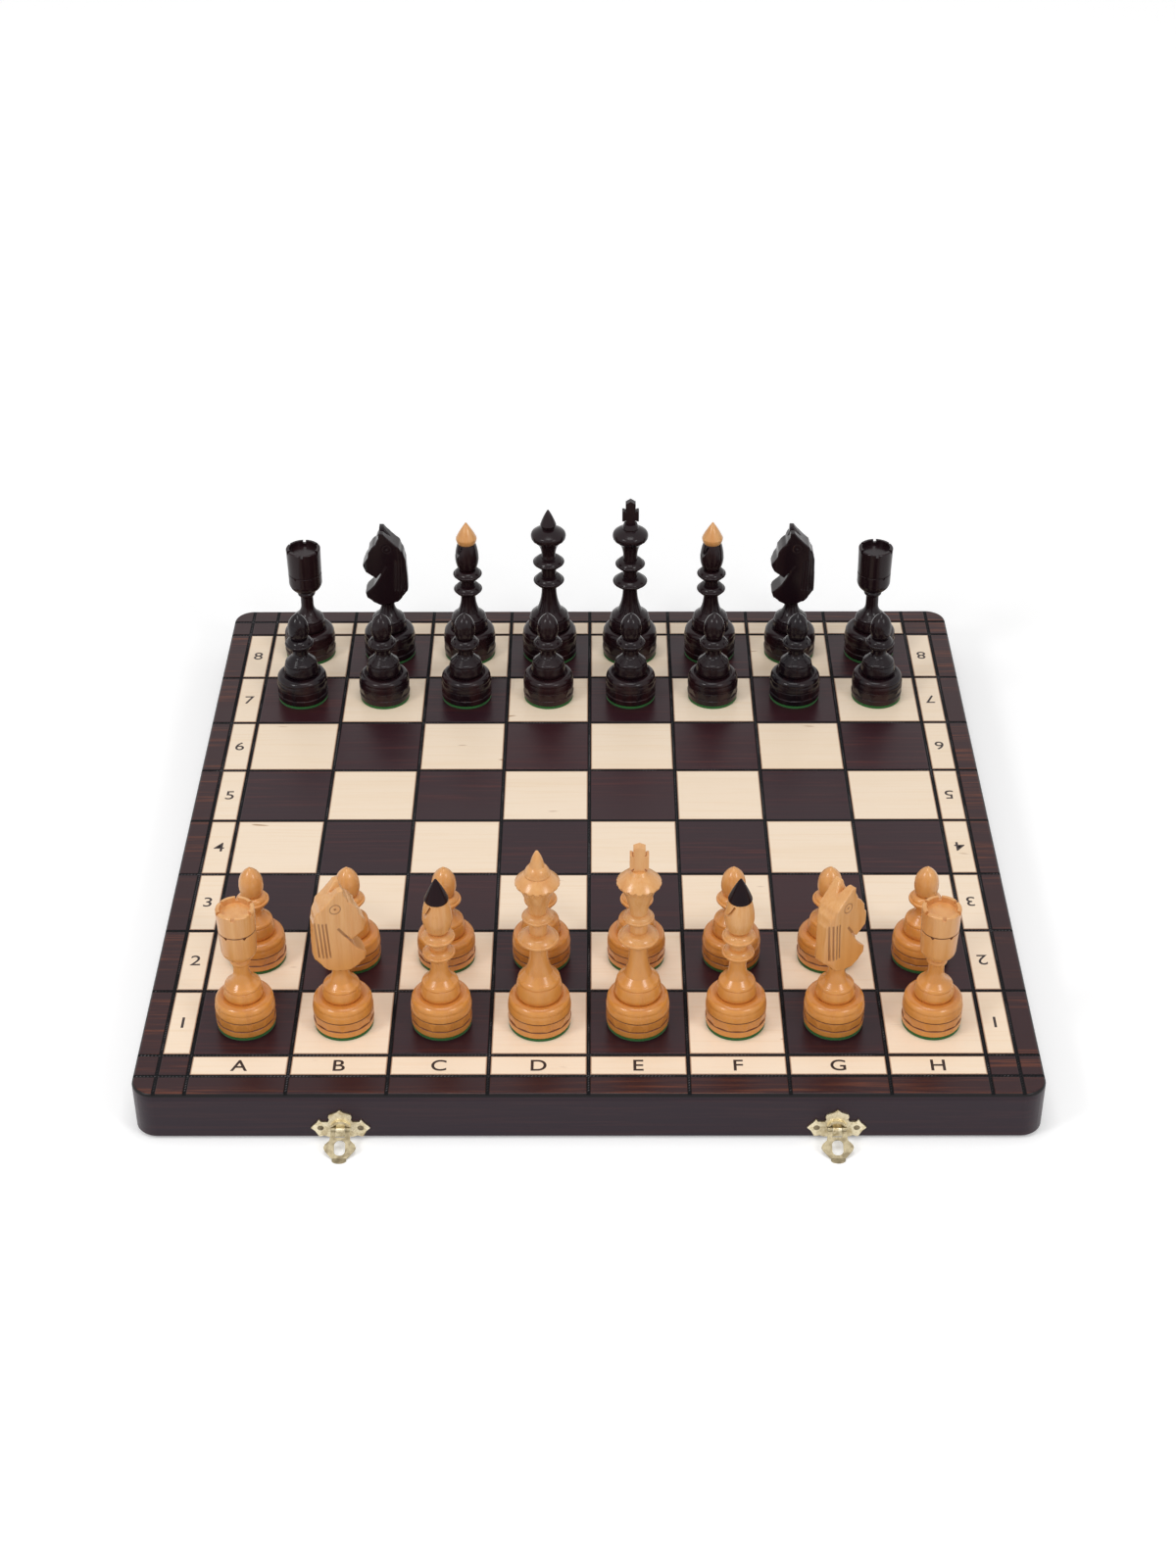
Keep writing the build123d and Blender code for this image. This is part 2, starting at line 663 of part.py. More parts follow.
def knight(man):
    """Knight facing +X: a flat carved head on a turned stem."""
    turning = Turning(man)
    turning.to(man.neck, knight_foot_height + 2)
    body = carve_facets(turning.solid(), man)
    front, back = knight_nose, -knight_back
    profile = [
        (3.5, ear_height, 0), (0.5, ear_height, 0), (-3.5, 53.6, 0.2), (back + 4.8, 46.6, 0.2),
        (back + 2.1, 42.0, 0.5),
        (back + 0.8, 35.4, 0.3), (back, 19.8, 0.1), (back, 10.2, 0), (-8.0, 2.8, 0), (-4.4, 1.2, 0.3),
        (4.4, 0, 0), (front - 6.8, 2.6, 0), (front - 2.6, 6.2, 0.3), (front - 1.0, 9.6, 0),
        (8.6, 16.0, 0), (*mouth_corner, 0), (6.6, 22.0, 0), (front - 1.6, 28.0, 0), (front, 31.2, 0),
        (12.0, 38.6, -0.3),
        (11.5, 42.8, 0), (9.8, 45.4, 0), (6.0, 49.2, -0.4), (3.8, 54.2, -0.4),
    ]
    head = extrude(Plane.XZ * outline(profile), knight_thickness / 2, both=True)
    head = (head & extrude(head_plan(), head_room)) - knight_carving()
    return body + Pos(0, 0, knight_foot_height) * head


def head_plan():
    """The knight's head from above: round at the mane and thinner at the nose."""
    mane = Ellipse(1.05 * knight_back, 0.62 * knight_thickness)
    face = Ellipse(1.12 * knight_nose, 0.72 * knight_thickness)
    behind = Pos(-2 * knight_back, 0) * Rectangle(4 * knight_back, 4 * knight_thickness)
    return (mane & behind) + (face - behind)


def knight_carving():
    """Cutters in the head's own frame: cleft between the ears, mane grooves and eyes."""
    half = knight_thickness / 2
    mouth = (0.42 * half, ear_height + 0.6)
    cleft = polygon([mouth, (-mouth[0], mouth[1]), (0, ear_height - ear_cleft_depth)])
    cutters = [Pos(4.0, 0, 0) * extrude(Plane.YZ * cleft, 9, both=True)]
    for side in (-1, 1):
        for n in range(mane_grooves):
            x = mane_groove_pitch * n - 0.86 * knight_back
            reach = 0.62 * knight_thickness * sqrt(1 - (x / (1.05 * knight_back)) ** 2)
            groove = Rot(Y=-3) * Cylinder(mane_groove_radius, 27 - n)
            cutters.append(Pos(x, side * (min(half, reach) + 0.1), 24.5) * groove)
        eye = Cylinder(eye_radius, 1.0) - Cylinder(eye_radius - 0.6, 1.0) + Cylinder(0.7, 1.0)
        cutters.append(Pos(eye_place[0], side * half, eye_place[1]) * Rot(X=90) * eye)
    return cutters


def pawn(man):
    """Pawn with a pointed egg-shaped head."""
    return carve_facets(Turning(man).tip(man.tip).solid(), man)


def main():
    """Build and write every piece."""
    os.makedirs("parts", exist_ok=True)
    write_case()
    write_clasps()
    write_chessmen()


def write_case():
    """The two half boxes, their linings, dividers, hinges and screws."""
    block = half_block()
    panel = playing_panel(block)
    save("front_playing_panel", panel)
    save("rear_playing_panel", rear(panel))
    screws = hinge_screws()
    face_screws = [s for x in clasp_places() for s in clasp_screws(x)]
    rear_face_screws = [s for x in clasp_places() for s in catch_screws(x)]
    recesses = [Pos(x, 0, rim_z) * hinge_recess() for x in hinge_places()]
    for name, rail in rails(block).items():
        if name == "seam_rail":
            rail -= recesses + screws
        if name == "clasp_rail":
            save("front_clasp_rail", rail - face_screws)
            save("rear_catch_rail", rear(rail - rear_face_screws))
            continue
        save("front_" + name, rail)
        save("rear_" + name, rear(rail))
    save("front_lining", lining())
    save("rear_lining", rear(lining()))
    save("front_dividers", dividers())
    save("rear_dividers", [rear(slat) for slat in dividers()])
    save("front_hinge_leaves", hinge_leaves(0, hinge_pin_radius, screws))
    rear_leaves = hinge_leaves(1, hinge_pin_radius + running_clearance, screws)
    save("rear_hinge_leaves", [rear(leaf) for leaf in rear_leaves])
    save("hinge_pins", hinge_pins())
    save("front_screws", screws + face_screws)
    save("rear_screws", [rear(s) for s in screws + rear_face_screws])


def write_clasps():
    """The plates, pins and hooks at the front, and the catches at the rear."""
    save("clasp_plates", [Pos(x, 0, 0) * clasp_plate() - clasp_screws(x) for x in clasp_places()])
    save("clasp_pins", [Pos(x, 0, 0) * clasp_pin() for x in clasp_places()])
    save("catch_plates", [rear(Pos(x, 0, 0) * catch_plate() - catch_screws(x)) for x in clasp_places()])
    for name, x in zip(("left_hasp", "right_hasp"), clasp_places()):
        save(name, Pos(x, 0, 0) * resting_hook())


def file_x(letter):
    """Middle of a file."""
    return square * ("abcdefgh".index(letter) - 3.5)


def write_chessmen():
    """All 32 chessmen on their squares, and the four bishops' caps."""
    makers = {"king": king, "queen": queen, "bishop": bishop, "knight": knight, "rook": rook, "pawn": pawn}
    officers = ["rook", "knight", "bishop", "queen", "king", "bishop", "knight", "rook"]
    ranks = [("white", white_back_rank, 1, officers), ("white", white_pawn_rank, 2, ["pawn"] * 8),
             ("black", black_pawn_rank, 7, ["pawn"] * 8), ("black", black_back_rank, 8, officers)]
    for side, rank, number, kinds in ranks:
        shapes = {kind: makers[kind](men[side, kind]) for kind in set(kinds)}
        for letter, kind in zip("abcdefgh", kinds):
            single = kind in ("king", "queen")
            name = f"{side}_{kind}" if single else f"{side}_{kind}_{letter}{number}"
            place = Pos(file_x(letter), rank * square, board_z + standing_clearance)
            place *= Rot(Z=knight_turns.get(name, 0))
            man = men[side, kind]
            save(name, [place * scale(shape, men_scale) for shape in (shapes[kind], felt(man))])
            if kind == "bishop":
                save(name + "_cap", place * scale(bishop_cap(man), men_scale))


main()
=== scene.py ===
# %% [markdown]
# # A folding wooden chess set
# The case, the clasps and the turned chessmen come from the CAD model at their real size, and
# stay exactly where they are. This lesson sets up the camera and the light, and then adds what
# CAD can't hold: stained and varnished wood, burnt lines, printed letters, felt and brass. Only
# the knights' heads and the felt linings are shaped again, each in the place of its CAD piece.

# %% Load the fixed frame
import json
from math import cos, pi, radians, sin

import bmesh
import bpy
from mathutils import Matrix, Vector

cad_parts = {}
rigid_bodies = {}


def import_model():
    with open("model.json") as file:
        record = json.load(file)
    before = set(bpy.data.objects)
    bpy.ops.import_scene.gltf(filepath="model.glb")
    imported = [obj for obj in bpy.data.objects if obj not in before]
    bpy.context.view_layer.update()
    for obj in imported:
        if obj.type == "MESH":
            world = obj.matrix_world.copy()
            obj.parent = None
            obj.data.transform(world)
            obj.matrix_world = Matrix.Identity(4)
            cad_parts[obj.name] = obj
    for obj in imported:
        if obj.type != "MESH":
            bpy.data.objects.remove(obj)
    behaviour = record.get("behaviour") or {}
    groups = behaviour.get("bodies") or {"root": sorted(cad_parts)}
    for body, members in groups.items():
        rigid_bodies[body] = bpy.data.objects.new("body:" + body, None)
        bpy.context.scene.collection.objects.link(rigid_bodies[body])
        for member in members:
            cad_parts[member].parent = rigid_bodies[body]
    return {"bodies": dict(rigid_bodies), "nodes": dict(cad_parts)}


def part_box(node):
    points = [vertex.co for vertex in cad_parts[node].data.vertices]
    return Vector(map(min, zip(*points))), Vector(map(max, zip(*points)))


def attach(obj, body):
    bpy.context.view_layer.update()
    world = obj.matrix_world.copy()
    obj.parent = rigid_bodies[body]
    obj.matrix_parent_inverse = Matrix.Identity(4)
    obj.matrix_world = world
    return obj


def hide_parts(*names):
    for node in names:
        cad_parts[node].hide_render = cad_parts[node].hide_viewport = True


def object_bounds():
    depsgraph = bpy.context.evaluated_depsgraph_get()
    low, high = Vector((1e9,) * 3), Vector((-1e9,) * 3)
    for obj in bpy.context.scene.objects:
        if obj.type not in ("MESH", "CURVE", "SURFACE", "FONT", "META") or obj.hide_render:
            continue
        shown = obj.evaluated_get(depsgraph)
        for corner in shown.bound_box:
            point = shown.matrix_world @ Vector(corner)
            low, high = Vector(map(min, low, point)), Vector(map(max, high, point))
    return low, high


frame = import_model()
cad_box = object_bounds()
nodes = frame["nodes"]

# %% [markdown]
# The frame is in metres, but chess sets are made in millimetres. Sizes here are in millimetres,
# and multiplied by MM where Blender needs metres. They could all be typed in again from the CAD,
# but a change there would then be missed here, so most are measured on the CAD nodes.

# %% Sizes of the board
MM = 0.001
LABEL_STRIP = 18.0


def measured(length, digits=3):
    """A length of the frame in millimetres, without the noise of its last digits."""
    return round(length / MM, digits)


panel_low, panel_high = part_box("front_playing_panel")
HALF_WIDTH = measured(panel_high.x)
HALF_DEPTH = -measured(panel_low.y)
BOARD_TOP = measured(panel_high.z)
PANEL_UNDER = measured(panel_low.z)
SQUARE = measured(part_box("white_pawn_b2")[0].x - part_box("white_pawn_a2")[0].x)
FIELD = 4 * SQUARE
LABEL_LINE = FIELD + LABEL_STRIP
print("square", SQUARE, "mm, half board", HALF_WIDTH, "by", HALF_DEPTH, "mm, top at", BOARD_TOP)

# %% Places of the ranks
STANDING = measured(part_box("white_pawn_a2")[0].z)


def rank_place(man):
    """How far behind the seam a chessman stands. In front of the seam is below zero."""
    low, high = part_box(man)
    return measured((low.y + high.y) / 2, 2)


RANKS = {
    "white_back": rank_place("white_king"),
    "white_pawn": rank_place("white_pawn_a2"),
    "black_pawn": rank_place("black_pawn_a7"),
    "black_back": rank_place("black_king"),
}
print("ranks", RANKS, "standing at", STANDING)

# %% [markdown]
# The photograph looks down on the board at about 35 degrees from the front, with a long lens. A
# camera could be aimed by eye, but every size in the picture hangs on it. Its place, its turn and
# its lens were worked out from the corners of the squares instead, so they are set by numbers.

# %% Camera at the photograph's angle
SENSOR = 36.0
LENS = 56.843
CAMERA_PLACE = (0.00458, -1.32019, 0.99843)
CAMERA_TURN = (54.6664, 0.1601, 0.1167)

scene = bpy.context.scene
camera = bpy.data.objects.new("camera", bpy.data.cameras.new("camera"))
scene.collection.objects.link(camera)
camera.data.sensor_fit = "VERTICAL"
camera.data.sensor_height = SENSOR
camera.data.lens = LENS
camera.location = CAMERA_PLACE
camera.rotation_euler = [radians(angle) for angle in CAMERA_TURN]
scene.camera = camera
scene.view_settings.view_transform = "Standard"
print("camera", round(camera.location.length, 3), "m from the middle of the board")

# %% [markdown]
# The room, the paper and every finish are made of shader nodes. Joining nodes socket by socket
# takes many lines, so a few short helpers add a node, fill its sockets and hand back its result.
# A socket takes either a plain value or the result of another node.

# %% Helpers for shader nodes
def fill(tree, node, sockets):
    """Give a node's input sockets their values, or join them to other sockets."""
    for name, value in sockets.items():
        if isinstance(value, bpy.types.NodeSocket):
            tree.links.new(value, node.inputs[name])
        else:
            node.inputs[name].default_value = value


def put(tree, kind, sockets=None, **settings):
    """Add a shader node with its settings and input sockets."""
    node = tree.nodes.new("ShaderNode" + kind)
    for name, value in settings.items():
        setattr(node, name, value)
    fill(tree, node, sockets or {})
    return node


def calc(tree, operation, *values, clamp=False):
    """One Math node, by its operation."""
    node = put(tree, "Math", dict(enumerate(values)), operation=operation, use_clamp=clamp)
    return node.outputs[0]


def times(tree, first, *others):
    """The product of some masks or numbers."""
    for other in others:
        first = calc(tree, "MULTIPLY", first, other)
    return first


def strongest(tree, first, *others):
    """The highest of some masks."""
    for other in others:
        first = calc(tree, "MAXIMUM", first, other)
    return first


def level(tree, value, low, high, span=(0.0, 1.0)):
    """A level that goes straight from low to high, as a value goes through its span."""
    start, end = span
    return put(tree, "MapRange", {0: value, 1: start, 2: end, 3: low, 4: high}).outputs[0]


print("shader helpers ready")

# %% [markdown]
# A product photographer sets a chess set in a white room, with two soft boxes in front and one
# above. The room is the world. It could be made white with more light, but that would bleach the
# maple, so the camera, gloss and metal see it white while it lights the set at a lower level. The
# front boxes give each turned ring its two highlights, and the upper one a sheen on shoulders.

# %% Room
ROOM_LEVEL = 0.47


def background_rays(tree):
    """1 for rays that should see the plain white background."""
    path = put(tree, "LightPath").outputs
    return strongest(tree, path["Is Camera Ray"], path["Is Glossy Ray"], path["Is Transmission Ray"])


room = bpy.data.worlds.new("studio")
scene.world = room
room.use_nodes = True
tree = room.node_tree
tree.nodes.clear()
strength = level(tree, background_rays(tree), low=ROOM_LEVEL, high=1.0)
light = put(tree, "Background", {"Color": (1, 1, 1, 1), "Strength": strength})
put(tree, "OutputWorld", {"Surface": light.outputs[0]})
print("room", room.name, "lights at", ROOM_LEVEL)

# %% Soft boxes
def soft_box(name, place, watts, size):
    """A square soft box that faces the middle of the board. Place and size are in metres."""
    lamp = bpy.data.lights.new(name, "AREA")
    lamp.energy = watts
    lamp.size = size
    holder = bpy.data.objects.new(name, lamp)
    holder.location = place
    holder.rotation_euler = (-Vector(place)).to_track_quat("-Z", "Y").to_euler()
    scene.collection.objects.link(holder)


soft_box("soft_box_left", place=(-1.1, -0.9, 1.3), watts=7.2, size=0.42)
soft_box("soft_box_right", place=(1.0, -1.1, 1.2), watts=5.4, size=0.42)
soft_box("soft_box_above", place=(0.0, -0.25, 1.5), watts=5.0, size=0.6)
print(len(bpy.data.lights), "soft boxes")

# %% [markdown]
# The set stands on a sweep of white paper. A white backdrop could be painted in behind a cut-out,
# but then the set would float. The paper is a plain matt surface that takes the set's shadow. It
# glows a little for the background rays only, more so far from the set, so open paper is white.

# %% Paper material
PAPER_WHITE = (0.93, 0.93, 0.93, 1)
NEAR_GLOW = 0.26
FAR_GLOW = 0.48
GLOW_SPAN = (0.35, 1.3)
FIBRE_SCALE = 90.0


def new_material(name):
    """An empty node material and its Principled shader."""
    material = bpy.data.materials.new(name)
    material.use_nodes = True
    return material, material.node_tree, material.node_tree.nodes["Principled BSDF"]


def fixed_place(tree):
    """A point's place in metres in the frame. It stays with the wood when a part moves."""
    return put(tree, "TexCoord").outputs["Object"]


def relief(tree, height, strength, distance):
    """The normal of a fine relief, from its height. Distance is in metres."""
    sockets = {"Height": height, "Strength": strength, "Distance": distance}
    return put(tree, "Bump", sockets).outputs[0]


paper, tree, shader = new_material("white_paper")
fibres = put(tree, "TexNoise", {"Scale": FIBRE_SCALE}).outputs[0]
far = put(tree, "VectorMath", {0: fixed_place(tree)}, operation="LENGTH").outputs["Value"]
glow = level(tree, far, low=NEAR_GLOW, high=FAR_GLOW, span=GLOW_SPAN)
fill(tree, shader, {
    "Base Color": PAPER_WHITE,
    "Roughness": 0.9,
    "Normal": relief(tree, fibres, strength=0.02, distance=0.001),
    "Emission Color": (1, 1, 1, 1),
    "Emission Strength": times(tree, background_rays(tree), glow),
})
print("paper", paper.name, "glows from", NEAR_GLOW, "to", FAR_GLOW)

# %% Floor
FLOOR_SIZE = 6.0
FLOOR_CELLS = 8
FLOOR_GAP = 0.00002

bpy.ops.mesh.primitive_grid_add(x_subdivisions=FLOOR_CELLS, y_subdivisions=FLOOR_CELLS, size=FLOOR_SIZE)
floor = bpy.context.object
floor.name = "floor"
floor.location.z = cad_box[0].z - FLOOR_GAP
floor.data.materials.append(paper)
print("floor at", measured(floor.location.z), "mm, under the hanging hooks")

# %% [markdown]
# Wood is the main finish. A photograph of wood could be wrapped round each piece, but it would
# smear on turned men and blur close up. One shader node group makes the figure instead: long
# fibres, soft clouds of stain and slow growth rings. Each wood stretches it along its own grain
# and picks its own colours.

# %% Helpers for node groups and finishes
def new_group(name, inputs, outputs):
    """A shader node group with named sockets. Returns its tree, its inputs and its output node."""
    tree = bpy.data.node_groups.new(name, "ShaderNodeTree")
    for label, (kind, value) in inputs.items():
        socket = tree.interface.new_socket(label, in_out="INPUT", socket_type="NodeSocket" + kind)
        if value is not None:
            socket.default_value = value
    for label, kind in outputs.items():
        tree.interface.new_socket(label, in_out="OUTPUT", socket_type="NodeSocket" + kind)
    start = tree.nodes.new("NodeGroupInput")
    end = tree.nodes.new("NodeGroupOutput")
    return tree, start.outputs, end


def use_group(tree, group, **sockets):
    """Place a group in a material. Underscores in names stand for spaces."""
    node = tree.nodes.new("ShaderNodeGroup")
    node.node_tree = group
    fill(tree, node, {name.replace("_", " "): value for name, value in sockets.items()})
    return node.outputs


def ramp(tree, value, start, end):
    """0 below start and 1 above end, with a smooth step between."""
    sockets = {0: value, 1: start, 2: end}
    return put(tree, "MapRange", sockets, interpolation_type="SMOOTHSTEP").outputs[0]


def fade(tree, value, start, end):
    """1 below start and 0 above end, with a smooth step between."""
    return calc(tree, "SUBTRACT", 1.0, ramp(tree, value, start, end))


def gap(tree, one, other):
    """How far apart two values are."""
    return calc(tree, "ABSOLUTE", calc(tree, "SUBTRACT", one, other))


def colour(value):
    """A colour with its alpha, or a colour socket as it is."""
    return value if isinstance(value, bpy.types.NodeSocket) else (*value, 1.0)


def mix(tree, mask, below, above, share=None):
    """A colour that goes from one to the other as the mask rises, or only a share of the way."""
    mask = mask if share is None else times(tree, mask, share)
    sockets = {0: mask, 6: colour(below), 7: colour(above)}
    return put(tree, "Mix", sockets, data_type="RGBA").outputs[2]


def noise(tree, place, scale, detail, **more):
    """Soft noise from 0 to 1. Other sockets go by their names."""
    sockets = {"Vector": place, "Scale": scale, "Detail": detail, **more}
    return put(tree, "TexNoise", sockets).outputs[0]


def stretch(tree, place, amounts):
    """A place with its three axes stretched or pressed."""
    return put(tree, "VectorMath", {0: place, 1: amounts}, operation="MULTIPLY").outputs[0]


print("group and finish helpers ready")

# %% Wood figure group
FIBRE_ROUGHNESS = 0.62
CLOUD_SCALE = 0.12
CLOUD_SWIRL = 0.4
RING_SLANT = 0.6
RING_WANDER = 9.0

tree, given, end = new_group(
    "wood figure",
    {"Vector": ("Vector", None), "Stretch": ("Vector", (1, 1, 1)), "Ring Spread": ("Float", 1.0)},
    {"Fibres": "Float", "Clouds": "Float", "Rings": "Float"},
)
stretched = stretch(tree, given["Vector"], given["Stretch"])
fibres = noise(tree, stretched, scale=1.0, detail=6.0, Roughness=FIBRE_ROUGHNESS)
slow = put(tree, "VectorMath", {0: stretched, 3: CLOUD_SCALE}, operation="SCALE").outputs[0]
clouds = noise(tree, slow, scale=1.0, detail=3.0, Distortion=CLOUD_SWIRL)
parts = put(tree, "SeparateXYZ", {0: stretched}).outputs
across = calc(tree, "ADD", parts[0], times(tree, parts[1], RING_SLANT))
wander = times(tree, clouds, RING_WANDER)
phase = calc(tree, "ADD", times(tree, across, given["Ring Spread"]), wander)
rings = calc(tree, "MULTIPLY_ADD", calc(tree, "SINE", phase), 0.5, 0.5)
fill(tree, end, {"Fibres": fibres, "Clouds": clouds, "Rings": rings})
wood_figure = tree
print("group", wood_figure.name, "with", len(tree.nodes), "nodes")

# %% [markdown]
# The playing board is stained through a stencil: light squares and label cells stay bare, and the
# rest is dark. A picture of the board could be laid on it, but it would never meet the pressed
# lines exactly. One group works out from the place on the board which field a point lies in, so
# that the stain follows the lines at any distance. Spans are in millimetres from the middle of a
# line, and heights from the board's face.

# %% Board plan group
LINE_BLACK = (1.05, 1.3)
LINE_RIM = (1.5, 2.1)
GROOVE_FOOT = (-0.9, -0.75)
SIDE_BEGINS = (-2.4, -2.0)
ROUNDED_EDGE = (-0.35, -0.1)


def line_distance(tree, place):
    """Distance from a place along one axis to the nearest pressed line."""
    cells = calc(tree, "DIVIDE", place, SQUARE)
    inner = times(tree, gap(tree, cells, calc(tree, "ROUND", cells)), SQUARE)
    outer = gap(tree, calc(tree, "ABSOLUTE", place), LABEL_LINE)
    return calc(tree, "MINIMUM", inner, outer)


def above(tree, height, heights):
    """0 to 1 as a point rises between two heights from the board's face."""
    return ramp(tree, height, *(BOARD_TOP + limit for limit in heights))


def in_millimetres(tree, place):
    """The three coordinates of a place in metres."""
    parts = put(tree, "SeparateXYZ", {0: place}).outputs
    return [calc(tree, "DIVIDE", parts[n], MM) for n in range(3)]


tree, given, end = new_group(
    "board plan",
    {"Place": ("Vector", None)},
    {label: "Float" for label in ("Light", "Field", "Line", "Rim", "Tone", "Top", "Edge")},
)
x, y, z = in_millimetres(tree, given["Place"])
size_x, size_y = (calc(tree, "ABSOLUTE", value) for value in (x, y))
column, row = (calc(tree, "FLOOR", calc(tree, "DIVIDE", value, SQUARE)) for value in (x, y))
parity = calc(tree, "FLOORED_MODULO", calc(tree, "ADD", column, row), 2.0)
in_x, in_y = (calc(tree, "LESS_THAN", value, FIELD) for value in (size_x, size_y))
in_field = times(tree, in_x, in_y)
label_x, label_y = (calc(tree, "LESS_THAN", value, LABEL_LINE) for value in (size_x, size_y))
strips = strongest(tree, times(tree, label_x, in_y), times(tree, label_y, in_x))
labels = calc(tree, "SUBTRACT", strips, in_field, clamp=True)
nearest = calc(tree, "MINIMUM", line_distance(tree, x), line_distance(tree, y))
cell = put(tree, "CombineXYZ", {0: column, 1: row, 2: labels}).outputs[0]
fill(tree, end, {
    "Light": calc(tree, "ADD", times(tree, parity, in_field), labels),
    "Field": in_field,
    "Line": times(tree, fade(tree, nearest, *LINE_BLACK), above(tree, z, GROOVE_FOOT)),
    "Rim": fade(tree, nearest, *LINE_RIM),
    "Tone": put(tree, "TexWhiteNoise", {0: cell}, noise_dimensions="3D").outputs[0],
    "Top": above(tree, z, SIDE_BEGINS),
    "Edge": calc(tree, "SUBTRACT", 1.0, above(tree, z, ROUNDED_EDGE)),
})
board_plan = tree
print("group", board_plan.name, "with", len(tree.nodes), "nodes")

# %% [markdown]
# The light squares are pale maple with warm streaks and a few brown flecks. The dark ones are a
# red-black stain, thin enough to show the grain, and the border's stain is a little thinner. The
# plan group gives each cell a number, which shifts its tone a little, as on the real board. The
# lines are burnt black, with a scorched rim on the maple, and the rounded edge is black too.

# %% Board colours
MAPLE_PALE = (0.98, 0.81, 0.63)
MAPLE_WARM = (0.92, 0.71, 0.49)
KNOT_BROWN = (0.42, 0.24, 0.12)
SCORCHED = (0.30, 0.12, 0.05)
STAIN_DEEP = (0.024, 0.0075, 0.012)
STAIN_RED = (0.078, 0.019, 0.018)
BORDER_DEEP = (0.030, 0.008, 0.010)
BORDER_RED = (0.160, 0.044, 0.020)
EDGE_BLACK = (0.004, 0.002, 0.003)
BURNT_LINE = (0.003, 0.003, 0.004)
SIDE_BLACK = (0.018, 0.0065, 0.014)
SIDE_BROWN = (0.030, 0.010, 0.016)

ALONG_X = (14.0, 420.0, 420.0)
ALONG_Y = (420.0, 14.0, 420.0)
SAWN_RINGS = 0.05
CLOUD_SPAN = (0.3, 0.7)
BOARD_STREAKS = (0.46, 0.72)
WARM_PATCHES = (0.52, 0.75)
RED_PATCHES = (0.35, 0.7)
BORDER_PATCHES = (0.42, 0.62)
FLECK_STRETCH = (30.0, 150.0, 150.0)
FLECK_SPAN = (0.745, 0.80)
LINE_ROUGHNESS = 0.6
GRAIN_DEPTH = 0.0004


def maple(tree, place, plan, streaks, clouds):
    """Colour of the bare maple, with its flecks."""
    base = mix(tree, streaks, MAPLE_PALE, MAPLE_WARM, share=0.5)
    base = mix(tree, plan["Tone"], base, MAPLE_WARM, share=0.16)
    base = mix(tree, ramp(tree, clouds, *WARM_PATCHES), base, MAPLE_WARM, share=0.3)
    flecks = noise(tree, stretch(tree, place, FLECK_STRETCH), scale=1.0, detail=1.0)
    return mix(tree, ramp(tree, flecks, *FLECK_SPAN), base, KNOT_BROWN, share=0.8)


def stained(tree, plan, streaks, clouds):
    """Colour of the stained squares and of the border round them."""
    red = times(tree, streaks, ramp(tree, clouds, *RED_PATCHES))
    squares = mix(tree, red, STAIN_DEEP, STAIN_RED)
    squares = mix(tree, plan["Tone"], squares, STAIN_RED, share=0.25)
    red = times(tree, streaks, ramp(tree, clouds, *BORDER_PATCHES))
    border = mix(tree, red, BORDER_DEEP, BORDER_RED)
    return mix(tree, plan["Field"], border, squares)


print("maple and stain ready")

# %% Board material
board, tree, shader = new_material("board_top")
place = fixed_place(tree)
plan = use_group(tree, board_plan, Place=place)
figure = use_group(tree, wood_figure, Vector=place, Stretch=ALONG_X, Ring_Spread=SAWN_RINGS)
fibres, clouds = figure["Fibres"], figure["Clouds"]
streaks = ramp(tree, fibres, *BOARD_STREAKS)
bare = mix(tree, plan["Rim"], maple(tree, place, plan, streaks, clouds), SCORCHED, share=0.75)
top = mix(tree, plan["Light"], stained(tree, plan, streaks, clouds), bare)
top = mix(tree, plan["Edge"], top, EDGE_BLACK)
top = mix(tree, plan["Line"], top, BURNT_LINE)
side = mix(tree, streaks, SIDE_BLACK, SIDE_BROWN)
rough = level(tree, clouds, low=0.28, high=0.40, span=CLOUD_SPAN)
rough = calc(tree, "ADD", rough, times(tree, plan["Line"], LINE_ROUGHNESS), clamp=True)
fill(tree, shader, {
    "Base Color": mix(tree, plan["Top"], side, top),
    "Roughness": rough,
    "Normal": relief(tree, fibres, strength=0.10, distance=GRAIN_DEPTH),
    "Specular IOR Level": 0.23,
    "Coat Weight": 0.05,
    "Coat Roughness": 0.22,
})
print("material", board.name)

# %% [markdown]
# The side rails are the same wood under a nearly black varnish. Their grain runs along the rail.
# One material could serve all four, but its grain would then cross two of them, so the left and
# right rails turn the figure by a quarter.

# %% Rail materials
RAIL_STREAKS = (0.44, 0.7)
RAIL_PATCHES = (0.5, 0.8)


def rail_material(name, grain):
    """Near-black satin varnish over straight grain."""
    material, tree, shader = new_material(name)
    place = fixed_place(tree)
    figure = use_group(tree, wood_figure, Vector=place, Stretch=grain, Ring_Spread=SAWN_RINGS)
    streaks = ramp(tree, figure["Fibres"], *RAIL_STREAKS)
    base = mix(tree, streaks, SIDE_BLACK, SIDE_BROWN)
    patches = ramp(tree, figure["Clouds"], *RAIL_PATCHES)
    fill(tree, shader, {
        "Base Color": mix(tree, patches, base, STAIN_DEEP, share=0.5),
        "Roughness": level(tree, figure["Clouds"], low=0.30, high=0.42, span=CLOUD_SPAN),
        "Normal": relief(tree, figure["Fibres"], strength=0.12, distance=GRAIN_DEPTH),
        "Specular IOR Level": 0.28,
        "Coat Weight": 0.06,
        "Coat Roughness": 0.2,
    })
    return material


long_rail = rail_material("rail_along_x", ALONG_X)
side_rail = rail_material("rail_along_y", ALONG_Y)
print("materials", long_rail.name, "and", side_rail.name)

